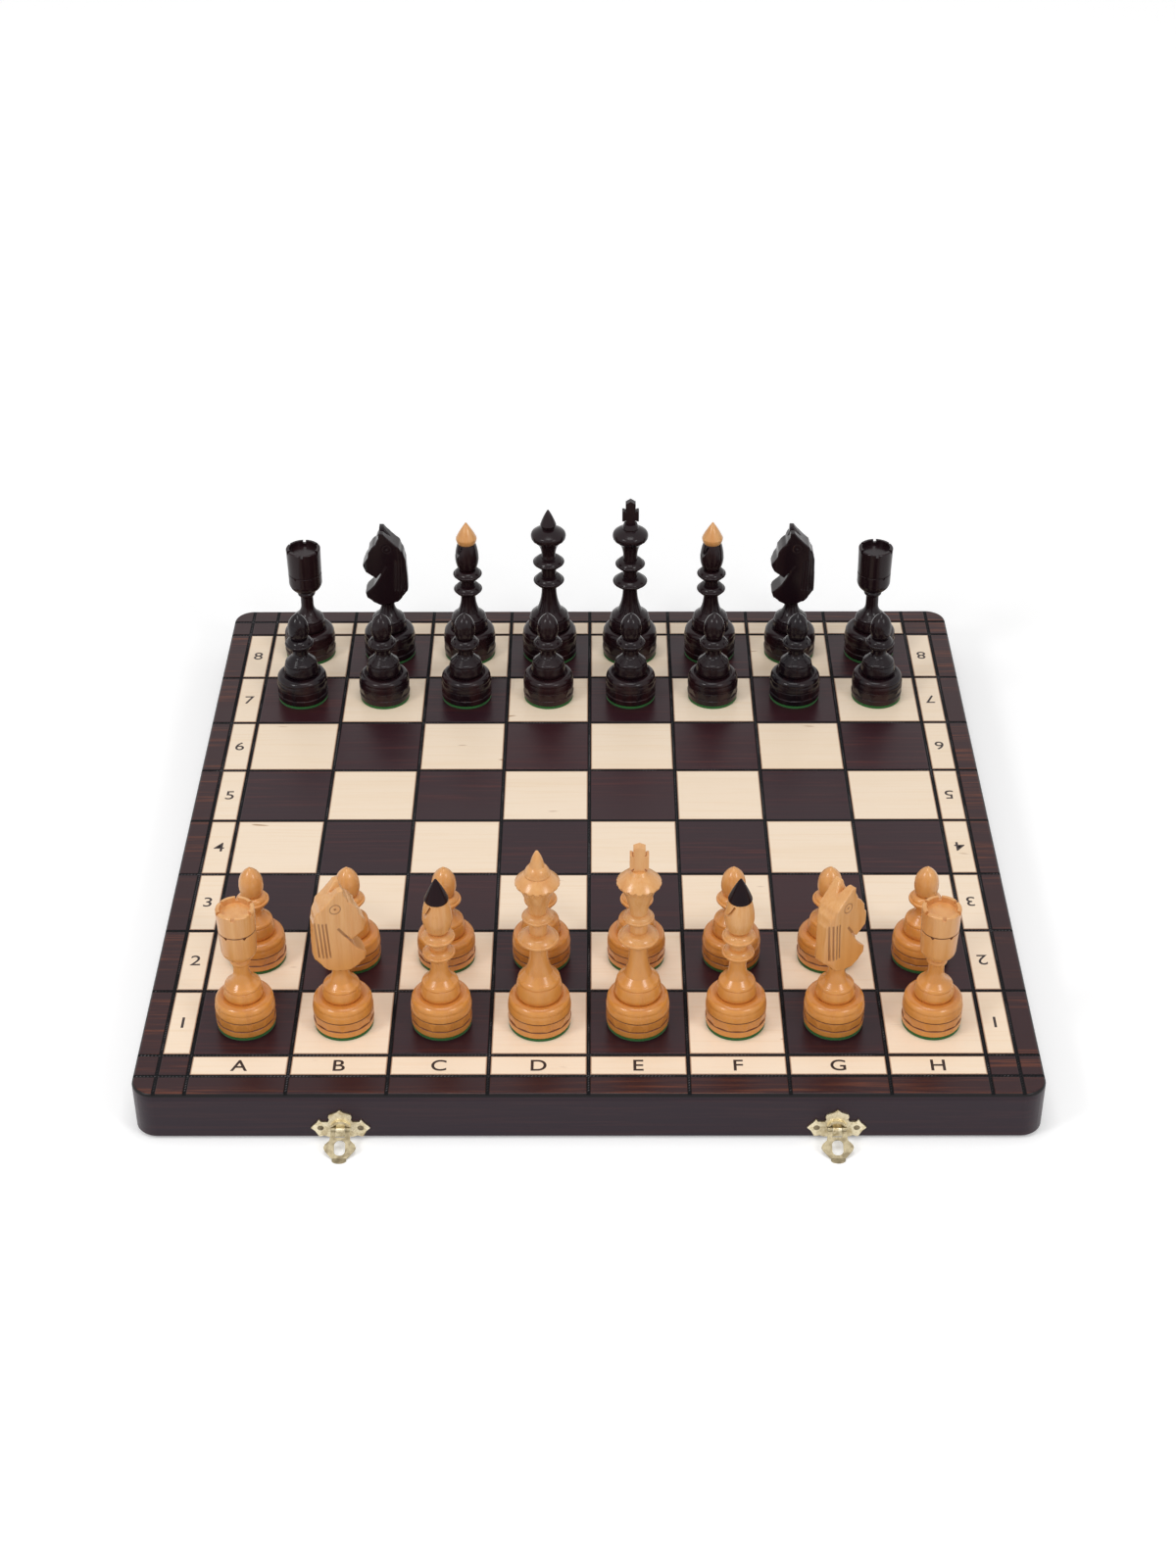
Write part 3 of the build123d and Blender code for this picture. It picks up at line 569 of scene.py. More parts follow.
# %% [markdown]
# Inside the case, thin slats split each half into compartments for the men. The photograph
# doesn't show them, so they are taken as bare wood: rough and pale, with the figure in short
# strokes.

# %% Tray slats
SLAT_PALE = (0.50, 0.29, 0.13)
SLAT_WARM = (0.36, 0.18, 0.07)
SLAT_STRETCH = (30.0, 60.0, 380.0)
SLAT_STREAKS = (0.4, 0.7)

slat_wood, tree, shader = new_material("tray_slats")
place = fixed_place(tree)
figure = use_group(tree, wood_figure, Vector=place, Stretch=SLAT_STRETCH, Ring_Spread=SAWN_RINGS)
fill(tree, shader, {
    "Base Color": mix(tree, ramp(tree, figure["Fibres"], *SLAT_STREAKS), SLAT_PALE, SLAT_WARM),
    "Roughness": level(tree, figure["Clouds"], low=0.5, high=0.7),
    "Normal": relief(tree, figure["Fibres"], strength=0.2, distance=GRAIN_DEPTH),
})
print("material", slat_wood.name)

# %% [markdown]
# Each chessman is turned on a lathe, so its grain runs upwards and its burnt rings sit at fixed
# heights. Every man could have a material of its own, but 32 nearly equal ones are hard to keep
# alike. A group moves a point on the board into the axes of the man that stands there, so one
# material serves all the men of one kind in a rank. It also gives each man a number of its own,
# so that no two look cut from the same spot.

# %% Chessman axes group
tree, given, end = new_group(
    "man axes",
    {"Place": ("Vector", None), "Rank": ("Float", 0.0)},
    {"Own": "Vector", "Flat": "Vector", "Height": "Float", "Number": "Float"},
)
x, y, z = in_millimetres(tree, given["Place"])
file_place = calc(tree, "DIVIDE", x, SQUARE)
file_number = calc(tree, "FLOOR", file_place)
from_edge = times(tree, calc(tree, "SUBTRACT", file_place, file_number), SQUARE)
own_x = calc(tree, "SUBTRACT", from_edge, SQUARE / 2)
own_y = calc(tree, "SUBTRACT", y, given["Rank"])
height = calc(tree, "SUBTRACT", z, STANDING)
seed = calc(tree, "ADD", file_number, given["Rank"])
fill(tree, end, {
    "Own": put(tree, "CombineXYZ", {0: own_x, 1: own_y, 2: height}).outputs[0],
    "Flat": put(tree, "CombineXYZ", {0: own_x, 1: own_y}).outputs[0],
    "Height": height,
    "Number": put(tree, "TexWhiteNoise", {"W": seed}, noise_dimensions="1D").outputs[0],
})
man_axes = tree
print("group", man_axes.name, "with", len(tree.nodes), "nodes")

# %% [markdown]
# The turner holds a wire against the spinning foot, and it burns a thin dark ring with a soft
# edge. Several woods need such rings, so one small group draws them at any height.

# %% Burnt ring group
RING_EDGE = (0.55, 1.35)

tree, given, end = new_group(
    "burnt ring",
    {"Height": ("Float", 0.0), "Line": ("Float", 0.0), "Half Width": ("Float", 0.5)},
    {"Mask": "Float"},
)
away = calc(tree, "DIVIDE", gap(tree, given["Height"], given["Line"]), given["Half Width"])
fill(tree, end, {"Mask": fade(tree, away, *RING_EDGE)})
burnt_ring = tree
print("group", burnt_ring.name, "with", len(tree.nodes), "nodes")

# %% [markdown]
# The knights' eyes, mouths and manes are burnt in too. Their cuts are in the CAD, and the burn is
# colour, which could be painted on by hand. A group draws it by sums instead, so that it stays
# sharp. It works in the axes of a man whose head looks along +X: a ring and a dot for the eye, a
# stroke for the mouth, and four upright mane cuts.

# %% Knight marks group
EYE = (-1.8, 90.6)
EYE_RADIUS = 3.1
EYE_RING = (0.15, 0.55)
EYE_DOT = (0.5, 1.0)
MANE_START = -13.33
MANE_STEP = 2.1
MANE_CUTS = 4
MANE_CUT = (0.17, 0.33)
MANE_MIDDLE = 69.1
MANE_HALF = 13.5
MANE_END = 1.5
MANE_LEAN = 0.052
MOUTH = (-0.6, 76.0)
MOUTH_RUN = (0.551, -0.834)
MOUTH_WIDTH = (0.5, 1.2)
MOUTH_FROM = (-1.2, -0.4)
MOUTH_TO = (5.0, 10.0)
CHEEK_FROM = (4.0, 5.0)


def eye_mark(tree, x, z):
    """A ring and a dot."""
    eye_x = calc(tree, "SUBTRACT", x, EYE[0])
    eye_z = calc(tree, "SUBTRACT", z, EYE[1])
    squares = calc(tree, "ADD", times(tree, eye_x, eye_x), times(tree, eye_z, eye_z))
    far = calc(tree, "SQRT", squares)
    ring = fade(tree, gap(tree, far, EYE_RADIUS), *EYE_RING)
    return strongest(tree, ring, fade(tree, far, *EYE_DOT))


def mane_mark(tree, x, z):
    """Four upright cuts that lean back a little."""
    up = calc(tree, "SUBTRACT", z, MANE_MIDDLE)
    lean = calc(tree, "ADD", x, times(tree, up, MANE_LEAN))
    step = calc(tree, "DIVIDE", calc(tree, "SUBTRACT", lean, MANE_START), MANE_STEP)
    cut = fade(tree, gap(tree, step, calc(tree, "ROUND", step)), *MANE_CUT)
    among = calc(tree, "LESS_THAN", gap(tree, step, (MANE_CUTS - 1) / 2), MANE_CUTS / 2)
    ends = fade(tree, calc(tree, "ABSOLUTE", up), MANE_HALF - MANE_END, MANE_HALF)
    return times(tree, cut, among, ends)


def mouth_mark(tree, x, z):
    """A slanting stroke that thins out towards the chin."""
    run_x, run_z = MOUTH_RUN
    x = calc(tree, "SUBTRACT", x, MOUTH[0])
    z = calc(tree, "SUBTRACT", z, MOUTH[1])
    along = calc(tree, "ADD", times(tree, x, run_x), times(tree, z, run_z))
    off = calc(tree, "SUBTRACT", times(tree, z, run_x), times(tree, x, run_z))
    stroke = fade(tree, calc(tree, "ABSOLUTE", off), *MOUTH_WIDTH)
    return times(tree, stroke, ramp(tree, along, *MOUTH_FROM), fade(tree, along, *MOUTH_TO))


tree, given, end = new_group("knight marks", {"Own": ("Vector", None)}, {"Mask": "Float"})
parts = put(tree, "SeparateXYZ", {0: given["Own"]}).outputs
x, y, z = parts[0], parts[1], parts[2]
marks = strongest(tree, eye_mark(tree, x, z), mane_mark(tree, x, z), mouth_mark(tree, x, z))
cheek = ramp(tree, calc(tree, "ABSOLUTE", y), *CHEEK_FROM)
fill(tree, end, {"Mask": times(tree, marks, cheek)})
knight_marks = tree
print("group", knight_marks.name, "with", len(tree.nodes), "nodes")

# %% [markdown]
# Every man has two burnt lines on its foot, between the felt and the crease where the bell
# begins. The rooks have one more round the cup, with dark chips in its notches, and the knights
# have their marks. Heights and radii are in millimetres from the felt's underside and the axis.

# %% Burnt lines of each kind
FELT_THICKNESS = 2.0
FOOT_LINES = (0.24, 0.545)
RING_HALF = 0.38
CREASE = {"king": 22.6, "queen": 22.0, "bishop": 22.6, "knight": 21.8, "rook": 21.8, "pawn": 20.4}
CUP_RING = {"white": 71.4, "black": 68.0}
CUP_RADIUS = {"white": 10.75, "black": 11.5}
CHIP_DROP = 0.6
CHIP_HALF = 1.6
MARK_STRENGTH = 0.62
KNIGHT_TURNS = {
    "white_knight_b1": 18.0,
    "white_knight_g1": 40.0,
    "black_knight_b8": 180.0,
    "black_knight_g8": 180.0,
}


def ring_at(tree, height, line, half_width):
    """Mask of one burnt ring."""
    return use_group(tree, burnt_ring, Height=height, Line=line, Half_Width=half_width)[0]


def cup_chips(tree, axes, side):
    """Mask of the dark chips inside a rook's cup ring."""
    from_axis = put(tree, "VectorMath", {0: axes["Flat"]}, operation="LENGTH").outputs["Value"]
    inside = calc(tree, "LESS_THAN", from_axis, CUP_RADIUS[side])
    near = ring_at(tree, axes["Height"], CUP_RING[side] - CHIP_DROP, CHIP_HALF)
    return times(tree, inside, near)


def burnt_marks(tree, axes, kind, side, name):
    """Mask of a man's burnt lines: two on the foot, and those of its kind."""
    rise = CREASE[kind] - FELT_THICKNESS
    lines = [FELT_THICKNESS + share * rise for share in FOOT_LINES]
    if kind == "rook":
        lines.append(CUP_RING[side])
    burnt = strongest(tree, 0.0, *(ring_at(tree, axes["Height"], line, RING_HALF) for line in lines))
    if kind == "rook":
        burnt = strongest(tree, burnt, cup_chips(tree, axes, side))
    if name in KNIGHT_TURNS:
        turn = -radians(KNIGHT_TURNS[name])
        turned = put(tree, "VectorRotate", {"Vector": axes["Own"], "Angle": turn})
        marks = use_group(tree, knight_marks, Own=turned.outputs[0])[0]
        burnt = strongest(tree, burnt, times(tree, marks, MARK_STRENGTH))
    return burnt


print("burnt lines at", FOOT_LINES, "of the foot's rise")

# %% [markdown]
# The white men are honey-coloured wood under thin satin varnish. It is paler towards the top,
# and redder in the band between the two burnt lines. The crease above them is darker, partly from
# varnish and dirt caught in it and partly as painted shade, and the fine line on the bell is too.
# Mixing one colour over another, mask by mask, keeps each of these easy to change by itself.

# %% Honey wood
HONEY_PALE = (0.78, 0.420, 0.165)
HONEY_FOOT = (0.75, 0.310, 0.060)
HONEY_WARM = (0.71, 0.315, 0.084)
HONEY_RED = (0.54, 0.185, 0.034)
BURNT_BROWN = (0.15, 0.040, 0.006)
BELL_LINE = {"king": 32.2, "queen": 33.1, "bishop": 31.0, "knight": 29.3, "rook": 29.3, "pawn": 28.7}
CREASE_DIRT_AND_SHADE_HALF = 0.7
BELL_HALF = 0.4
BELL_SHARE = 0.6
BAND_FROM = FELT_THICKNESS + 5.0
BAND_TO = FELT_THICKNESS + 11.0
BAND_EDGE = 0.8
BAND_SHARE = 0.45
PALER_UPWARDS = (25.0, 90.0)
HONEY_FIBRES = (0.38, 0.68)
HONEY_PATCHES = (0.5, 0.75)


def honey_wood(tree, axes, figure, kind, burnt):
    """Colour of a white man."""
    height, clouds = axes["Height"], figure["Clouds"]
    # The crease is darkened, partly for varnish and dirt caught in it and partly as painted shade. The
    # fine line on the bell is darkened a little less.
    crease_dirt_and_shade = ring_at(tree, height, CREASE[kind], CREASE_DIRT_AND_SHADE_HALF)
    bell = ring_at(tree, height, BELL_LINE[kind], BELL_HALF)
    crease_dirt_shade_and_bell_line = strongest(tree, crease_dirt_and_shade, times(tree, bell, BELL_SHARE))
    fibres = ramp(tree, figure["Fibres"], *HONEY_FIBRES)
    band = ramp(tree, height, BAND_FROM - BAND_EDGE, BAND_FROM)
    band = times(tree, band, fade(tree, height, BAND_TO - BAND_EDGE, BAND_TO))
    base = mix(tree, ramp(tree, height, *PALER_UPWARDS), HONEY_FOOT, HONEY_PALE)
    base = mix(tree, fibres, base, HONEY_WARM, share=0.55)
    base = mix(tree, figure["Rings"], base, HONEY_RED, share=0.16)
    base = mix(tree, axes["Number"], base, HONEY_WARM, share=0.3)
    base = mix(tree, ramp(tree, clouds, *HONEY_PATCHES), base, HONEY_RED, share=0.4)
    base = mix(tree, times(tree, band, times(tree, clouds, BAND_SHARE)), base, HONEY_RED)
    base = mix(tree, crease_dirt_shade_and_bell_line, base, HONEY_RED, share=0.5)
    return mix(tree, burnt, base, BURNT_BROWN)


print("honey wood ready")

# %% [markdown]
# The black men are the same wood stained almost black. The stain is thinner low on the foot,
# where reddish wood shows in patches, and it is worn off here and there in the burnt lines.

# %% Black-stained wood
EBONY = (0.0070, 0.0040, 0.0065)
EBONY_RED = (0.040, 0.011, 0.011)
WORN_BROWN = (0.110, 0.055, 0.035)
THIN_STAIN = (8.0, 26.0)
THIN_PATCHES = (0.38, 0.62)
THIN_SHARE = 0.5
THIN_LEAST = 0.10
WORN_FIBRES = (0.55, 0.7)


def black_wood(tree, axes, figure, burnt):
    """Colour of a black man."""
    thin = fade(tree, axes["Height"], *THIN_STAIN)
    thin = calc(tree, "MULTIPLY_ADD", thin, THIN_SHARE, THIN_LEAST)
    thin = times(tree, thin, ramp(tree, figure["Clouds"], *THIN_PATCHES))
    base = mix(tree, thin, EBONY, EBONY_RED)
    base = mix(tree, axes["Number"], base, EBONY_RED, share=0.25)
    worn = times(tree, burnt, ramp(tree, figure["Fibres"], *WORN_FIBRES))
    return mix(tree, worn, base, WORN_BROWN, share=0.5)


print("black-stained wood ready")

# %% [markdown]
# Each kind of man gets one wood per side, as its burnt lines sit at heights of their own. A knight
# has one to itself, because its marks turn with its head. The bishops' pointed caps are in the
# other side's wood.

# %% Chessman woods
TURNED_STRETCH = (0.7, 0.7, 0.05)
TURNED_RINGS = 1.1
CUT_APART = 900.0
BURNT_ROUGHNESS = 0.3
VARNISH = {
    "white": {"rough": (0.20, 0.30), "coat": 0.2, "gloss": 0.40},
    "black": {"rough": (0.17, 0.27), "coat": 0.05, "gloss": 0.22},
}
DARK_CAP_GLOSS = 0.10


def man_wood(name, side, kind, rank, gloss=None):
    """The wood of one man, or of all men of one kind in a rank."""
    material, tree, shader = new_material(name)
    axes = use_group(tree, man_axes, Place=fixed_place(tree), Rank=RANKS[rank])
    shift = put(tree, "CombineXYZ", {2: times(tree, axes["Number"], CUT_APART)}).outputs[0]
    moved = put(tree, "VectorMath", {0: axes["Own"], 1: shift}).outputs[0]
    figure = use_group(
        tree, wood_figure, Vector=moved, Stretch=TURNED_STRETCH, Ring_Spread=TURNED_RINGS
    )
    burnt = burnt_marks(tree, axes, kind, side, name)
    if side == "white":
        base = honey_wood(tree, axes, figure, kind, burnt)
    else:
        base = black_wood(tree, axes, figure, burnt)
    varnish = VARNISH[side]
    rough = level(tree, figure["Clouds"], *varnish["rough"], span=CLOUD_SPAN)
    fill(tree, shader, {
        "Base Color": base,
        "Roughness": calc(tree, "ADD", rough, times(tree, burnt, BURNT_ROUGHNESS), clamp=True),
        "Normal": relief(tree, figure["Fibres"], strength=0.05, distance=0.0003),
        "Coat Weight": varnish["coat"],
        "Coat Roughness": 0.15,
        "Specular IOR Level": varnish["gloss"] if gloss is None else gloss,
    })
    return material


woods = {}
for side in ("white", "black"):
    for kind in ("king", "queen", "bishop", "rook"):
        woods[f"{side}_{kind}"] = man_wood(f"{side}_{kind}", side, kind, f"{side}_back")
    woods[f"{side}_pawn"] = man_wood(f"{side}_pawn", side, "pawn", f"{side}_pawn")
for name in KNIGHT_TURNS:
    side = name.split("_")[0]
    woods[name] = man_wood(name, side, "knight", f"{side}_back")
woods["light_cap"] = man_wood("light_cap", "white", "bishop", "black_back")
woods["dark_cap"] = man_wood("dark_cap", "black", "bishop", "white_back", gloss=DARK_CAP_GLOSS)
print(len(woods), "chessman woods")

# %% [markdown]
# The clasps are thin stamped brass with a stippled face, dulled here and there, and their hooks
# are duller still. The pins are plain steel wire. A metal shows what is round it more than its
# own colour, so most of its look is roughness and a fine relief, from noise and small cells.

# %% Metals
BRASS_BRIGHT = (0.84, 0.75, 0.54)
BRASS_DULL = (0.52, 0.42, 0.24)
HOOK_BRIGHT = (0.40, 0.34, 0.22)
HOOK_DULL = (0.24, 0.195, 0.12)
SCREW_DARK = (0.14, 0.11, 0.07)
STEEL_BRIGHT = (0.62, 0.61, 0.60)
STEEL_DULL = (0.38, 0.37, 0.36)
DULL_PATCHES = (0.42, 0.7)
STIPPLE_SCALE = 1500.0
STIPPLE_SPAN = (0.35, 0.7)
ROUGHNESS_RISE = 0.18


def metal(name, bright, dull, stipple, rough_from=0.26):
    """A metal with dull patches and a stippled face."""
    material, tree, shader = new_material(name)
    place = fixed_place(tree)
    patches = noise(tree, place, scale=260.0, detail=4.0)
    cells = {"Vector": place, "Scale": STIPPLE_SCALE}
    grains = put(tree, "TexVoronoi", cells, feature="SMOOTH_F1").outputs[0]
    base = mix(tree, ramp(tree, patches, *DULL_PATCHES), bright, dull)
    rough_to = rough_from + ROUGHNESS_RISE
    fill(tree, shader, {
        "Base Color": mix(tree, ramp(tree, grains, *STIPPLE_SPAN), base, dull, share=0.35),
        "Metallic": 1.0,
        "Roughness": level(tree, patches, low=rough_from, high=rough_to, span=CLOUD_SPAN),
        "Normal": relief(tree, grains, strength=stipple, distance=0.0002),
    })
    return material


brass = metal("brass", BRASS_BRIGHT, BRASS_DULL, stipple=0.5)
hook_brass = metal("hook_brass", HOOK_BRIGHT, HOOK_DULL, stipple=0.3, rough_from=0.42)
screw_brass = metal("screw_brass", HOOK_DULL, SCREW_DARK, stipple=0.1)
steel = metal("steel_wire", STEEL_BRIGHT, STEEL_DULL, stipple=0.1)
print("metals", [material.name for material in (brass, hook_brass, screw_brass, steel)])

# %% [markdown]
# Green felt lies under every man and lines the case. Real felt is a mat of short hairs. Strands
# of hair would cost far more than such small discs are worth, so fine noise gives both the
# speckle and the relief, and a little sheen gives the soft edge that cloth has.

# %% Felt material
FELT_GREEN = (0.020, 0.165, 0.024)
FELT_DEEP = (0.007, 0.075, 0.011)
FUZZ_SPAN = (0.35, 0.7)

felt, tree, shader = new_material("green_felt")
place = fixed_place(tree)
fuzz = noise(tree, place, scale=1800.0, detail=5.0, Roughness=0.7)
tufts = noise(tree, place, scale=160.0, detail=3.0)
base = mix(tree, ramp(tree, fuzz, *FUZZ_SPAN), FELT_DEEP, FELT_GREEN)
fill(tree, shader, {
    "Base Color": mix(tree, tufts, base, FELT_GREEN, share=0.3),
    "Roughness": level(tree, tufts, low=0.9, high=1.0),
    "Normal": relief(tree, fuzz, strength=0.6, distance=0.0004),
    "Sheen Weight": 0.12,
    "Sheen Roughness": 0.6,
})
print("material", felt.name)

# %% [markdown]
# A CAD node keeps its shape and gets its finish through its material slots. Each could be picked
# by hand, but the nodes' names already say what they are, so the endings of the names choose. The
# first ending that fits counts, and what is left, the plates and hinge leaves, is brass.

# %% Dress the CAD nodes
CASE_FINISHES = {
    "playing_panel": board,
    "left_rail": side_rail,
    "right_rail": side_rail,
    "rail": long_rail,
    "dividers": slat_wood,
    "lining": felt,
    "pins": steel,
    "hasp": hook_brass,
    "screws": screw_brass,
    "": brass,
}


def man_finish(name):
    """The wood of a chessman's node."""
    side, kind = name.split("_")[:2]
    if name.endswith("_cap"):
        return woods["dark_cap" if side == "white" else "light_cap"]
    return woods[name if kind == "knight" else f"{side}_{kind}"]


def case_finish(name):
    """The finish of a node of the case or the clasps."""
    return next(finish for ending, finish in CASE_FINISHES.items() if name.endswith(ending))


for name, node in nodes.items():
    is_man = name.startswith(("white_", "black_"))
    node.data.materials.clear()
    node.data.materials.append(man_finish(name) if is_man else case_finish(name))
print(len(nodes), "CAD nodes dressed")

# %% [markdown]
# The pieces that follow are new meshes. Each is drawn with bmesh, as a list of corners and faces,
# and ends the same way: it becomes an object, rides on a body of the CAD so that it moves with
# it, and takes the one material that it is given.

# %% Finish a piece
def finish_piece(name, mesh, material, body, smooth=False):
    """Turn a bmesh in metres into a piece that rides on a body."""
    for face in mesh.faces:
        face.smooth = smooth
    data = bpy.data.meshes.new(name)
    mesh.to_mesh(data)
    mesh.free()
    data.materials.append(material)
    piece = bpy.data.objects.new(name, data)
    scene.collection.objects.link(piece)
    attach(piece, body)
    return piece


def to_metres(mesh):
    """Turn a bmesh drawn in millimetres into metres, with its faces outwards."""
    bmesh.ops.scale(mesh, vec=(MM, MM, MM), verts=mesh.verts)
    bmesh.ops.recalc_face_normals(mesh, faces=mesh.faces)
    return mesh


# %% [markdown]
# A knight's head is sawn out of a board, carved and then sanded, so its edges are soft. The CAD
# keeps them sharp. Bevels could round them, but they fail where many small cuts meet. Each head
# is meshed again in its own axes in small even faces, its edges are worn round, and the flat
# cheeks with their eye and mane cuts are left almost as they are.

# %% Cut a knight at the neck
HEAD_FOOT = 43.3
WELD = 0.001


def half_of(source, height, keep_upper):
    """Copy a mesh above or below a height. The upper part is welded and closed at the cut."""
    mesh = bmesh.new()
    mesh.from_mesh(source)
    if keep_upper:
        bmesh.ops.remove_doubles(mesh, verts=mesh.verts, dist=WELD * MM)
    parts = mesh.verts[:] + mesh.edges[:] + mesh.faces[:]
    cut = bmesh.ops.bisect_plane(
        mesh, geom=parts, plane_co=(0, 0, height), plane_no=(0, 0, 1),
        clear_inner=keep_upper, clear_outer=not keep_upper,
    )
    if keep_upper:
        edges = [part for part in cut["geom_cut"] if isinstance(part, bmesh.types.BMEdge)]
        bmesh.ops.edgeloop_fill(mesh, edges=edges)
    return mesh


print("heads are cut off", HEAD_FOOT, "mm above the board")

# %% Sand a head
VOXEL = 0.42
SANDED_FROM = 44.7
EARS_FROM = 95.0
CHEEK = 6.7
MANE_BOX = (-15.2, -5.8, 54.0, 84.5)
MANE_WEAR = 0.1
EAR_WEAR = 0.35
SANDING_FACTOR = 0.5
SANDING_STROKES = 50


def wear_at(x, y, z):
    """How much sanding a point of the head gets, from 0 to 1."""
    low_x, high_x, low_z, high_z = MANE_BOX
    if abs(y) > CHEEK or z < SANDED_FROM:
        return 0.0
    if low_x < x < high_x and low_z < z < high_z:
        return MANE_WEAR
    return EAR_WEAR if z > EARS_FROM else 1.0


def modified(holder):
    """A new mesh with the object's modifiers carried out."""
    graph = bpy.context.evaluated_depsgraph_get()
    return bpy.data.meshes.new_from_object(holder.evaluated_get(graph))


def sanded(head):
    """Mesh a head again in even faces and wear its edges round. The head looks along +X."""
    data = bpy.data.meshes.new("head")
    head.to_mesh(data)
    head.free()
    holder = bpy.data.objects.new("head", data)
    scene.collection.objects.link(holder)
    remesh = holder.modifiers.new("even faces", "REMESH")
    remesh.mode = "VOXEL"
    remesh.voxel_size = VOXEL * MM
    even = modified(holder)
    holder.modifiers.clear()
    holder.data = even
    worn = holder.vertex_groups.new(name="worn")
    for vertex in even.vertices:
        wear = wear_at(*(value / MM for value in vertex.co))
        worn.add([vertex.index], wear, "REPLACE")
    sanding = holder.modifiers.new("sanding", "SMOOTH")
    sanding.factor = SANDING_FACTOR
    sanding.iterations = SANDING_STROKES
    sanding.vertex_group = "worn"
    done = modified(holder)
    bpy.data.objects.remove(holder)
    bpy.data.meshes.remove(data)
    bpy.data.meshes.remove(even)
    return done


print("heads are sanded with", SANDING_STROKES, "strokes")

# %% Sanded knights
FILES = "abcdefgh"


def file_middle(letter):
    """The middle of a file, from its letter."""
    return SQUARE * (FILES.index(letter) - (len(FILES) - 1) / 2)


def man_place(name):
    """Where a chessman's axis stands on the board. Kings and queens have no file in their names."""
    side, kind = name.split("_")[:2]
    letter = {"king": "e", "queen": "d"}.get(kind, name[-2])
    rank = RANKS[f"{side}_pawn" if kind == "pawn" else f"{side}_back"]
    return file_middle(letter), rank


def sanded_knight(name):
    """A knight with its CAD foot and a sanded head, in place of the CAD node."""
    centre = Vector((*man_place(name), STANDING))
    turn = Matrix.Rotation(radians(KNIGHT_TURNS[name]), 4, "Z")
    place = Matrix.Translation(centre * MM) @ turn
    cut = (STANDING + HEAD_FOOT) * MM
    head = half_of(nodes[name].data, cut, True)
    bmesh.ops.transform(head, matrix=place.inverted(), verts=head.verts)
    top = sanded(head)
    top.transform(place)
    mesh = half_of(nodes[name].data, cut, False)
    mesh.from_mesh(top)
    bpy.data.meshes.remove(top)
    piece = finish_piece(name + "_sanded", mesh, woods[name], name, smooth=True)
    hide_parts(name)
    return len(piece.data.vertices)


for name in KNIGHT_TURNS:
    print(name, sanded_knight(name), "vertices")

# %% [markdown]
# The pressed lines are rolled with a toothed wheel, which leaves a row of slanted stitches in
# each groove. A bump map could fake them, but they catch the light as rows of dots and cast tiny
# shadows, so they are modelled: one low ridge each. In some stretches their crests are painted
# light grey, as a painted highlight, so that they glint as dots.

# %% Stitch material
SOOT_DEEP = (0.003, 0.003, 0.005)
SOOT_PALE = (0.012, 0.010, 0.013)
PAINTED_GLINT_GREY = (0.17, 0.16, 0.17)
CREST_HEIGHTS = (-0.34, -0.10)
CREST_RUNS = (0.50, 0.62)

stitch_black, tree, shader = new_material("rolled_stitches")
place = fixed_place(tree)
soot = noise(tree, place, scale=700.0, detail=3.0)
runs = noise(tree, place, scale=45.0, detail=2.0)
# The crests are painted light grey in runs: a painted highlight, so the stitches glint as dots.
crest_glint = above(tree, in_millimetres(tree, place)[2], CREST_HEIGHTS)
crest_glint = times(tree, crest_glint, ramp(tree, runs, *CREST_RUNS))
fill(tree, shader, {
    "Base Color": mix(tree, crest_glint, mix(tree, soot, SOOT_DEEP, SOOT_PALE), PAINTED_GLINT_GREY),
    "Roughness": level(tree, soot, low=0.16, high=0.4),
    "Specular IOR Level": 0.2,
})
print("material", stitch_black.name)

# %% Rolled stitches in the pressed lines
STITCH_PITCH = 2.1
STITCH_LENGTH = 1.15
STITCH_WIDTH = 0.42
STITCH_SHOULDER = 0.5
STITCH_RIDGE = 0.45
STITCH_TOP = -0.06
STITCH_FOOT = -0.52
STITCH_SLANT = 38.0
STITCH_FACES = 7
SIDE_END = 2.5
FRONT_END = 3.5
SEAM_START = 0.8
FOOT_RING = [
    (-STITCH_LENGTH, 0), (-STITCH_SHOULDER, -STITCH_WIDTH), (STITCH_SHOULDER, -STITCH_WIDTH),
    (STITCH_LENGTH, 0), (STITCH_SHOULDER, STITCH_WIDTH), (-STITCH_SHOULDER, STITCH_WIDTH),
]
RIDGE_ENDS = [(-STITCH_RIDGE, 0), (STITCH_RIDGE, 0)]


def add_stitch(mesh, x, y, turn):
    """One slanted ridge with pointed ends, at a place on the board."""
    spin = Matrix.Rotation(turn, 2)

    def corners(outline, height):
        """Corners of an outline, turned and moved to their place."""
        flat = [spin @ Vector(point) + Vector((x, y)) for point in outline]
        return [mesh.verts.new((*point, BOARD_TOP + height)) for point in flat]

    foot = corners(FOOT_RING, STITCH_FOOT)
    ridge = corners(RIDGE_ENDS, STITCH_TOP)
    for a, b, top in ((0, 1, 0), (5, 0, 0), (2, 3, 1), (3, 4, 1)):
        mesh.faces.new((foot[a], foot[b], ridge[top]))
    mesh.faces.new((foot[1], foot[2], ridge[1], ridge[0]))
    mesh.faces.new((foot[4], foot[5], ridge[0], ridge[1]))
    mesh.faces.new(list(reversed(foot)))


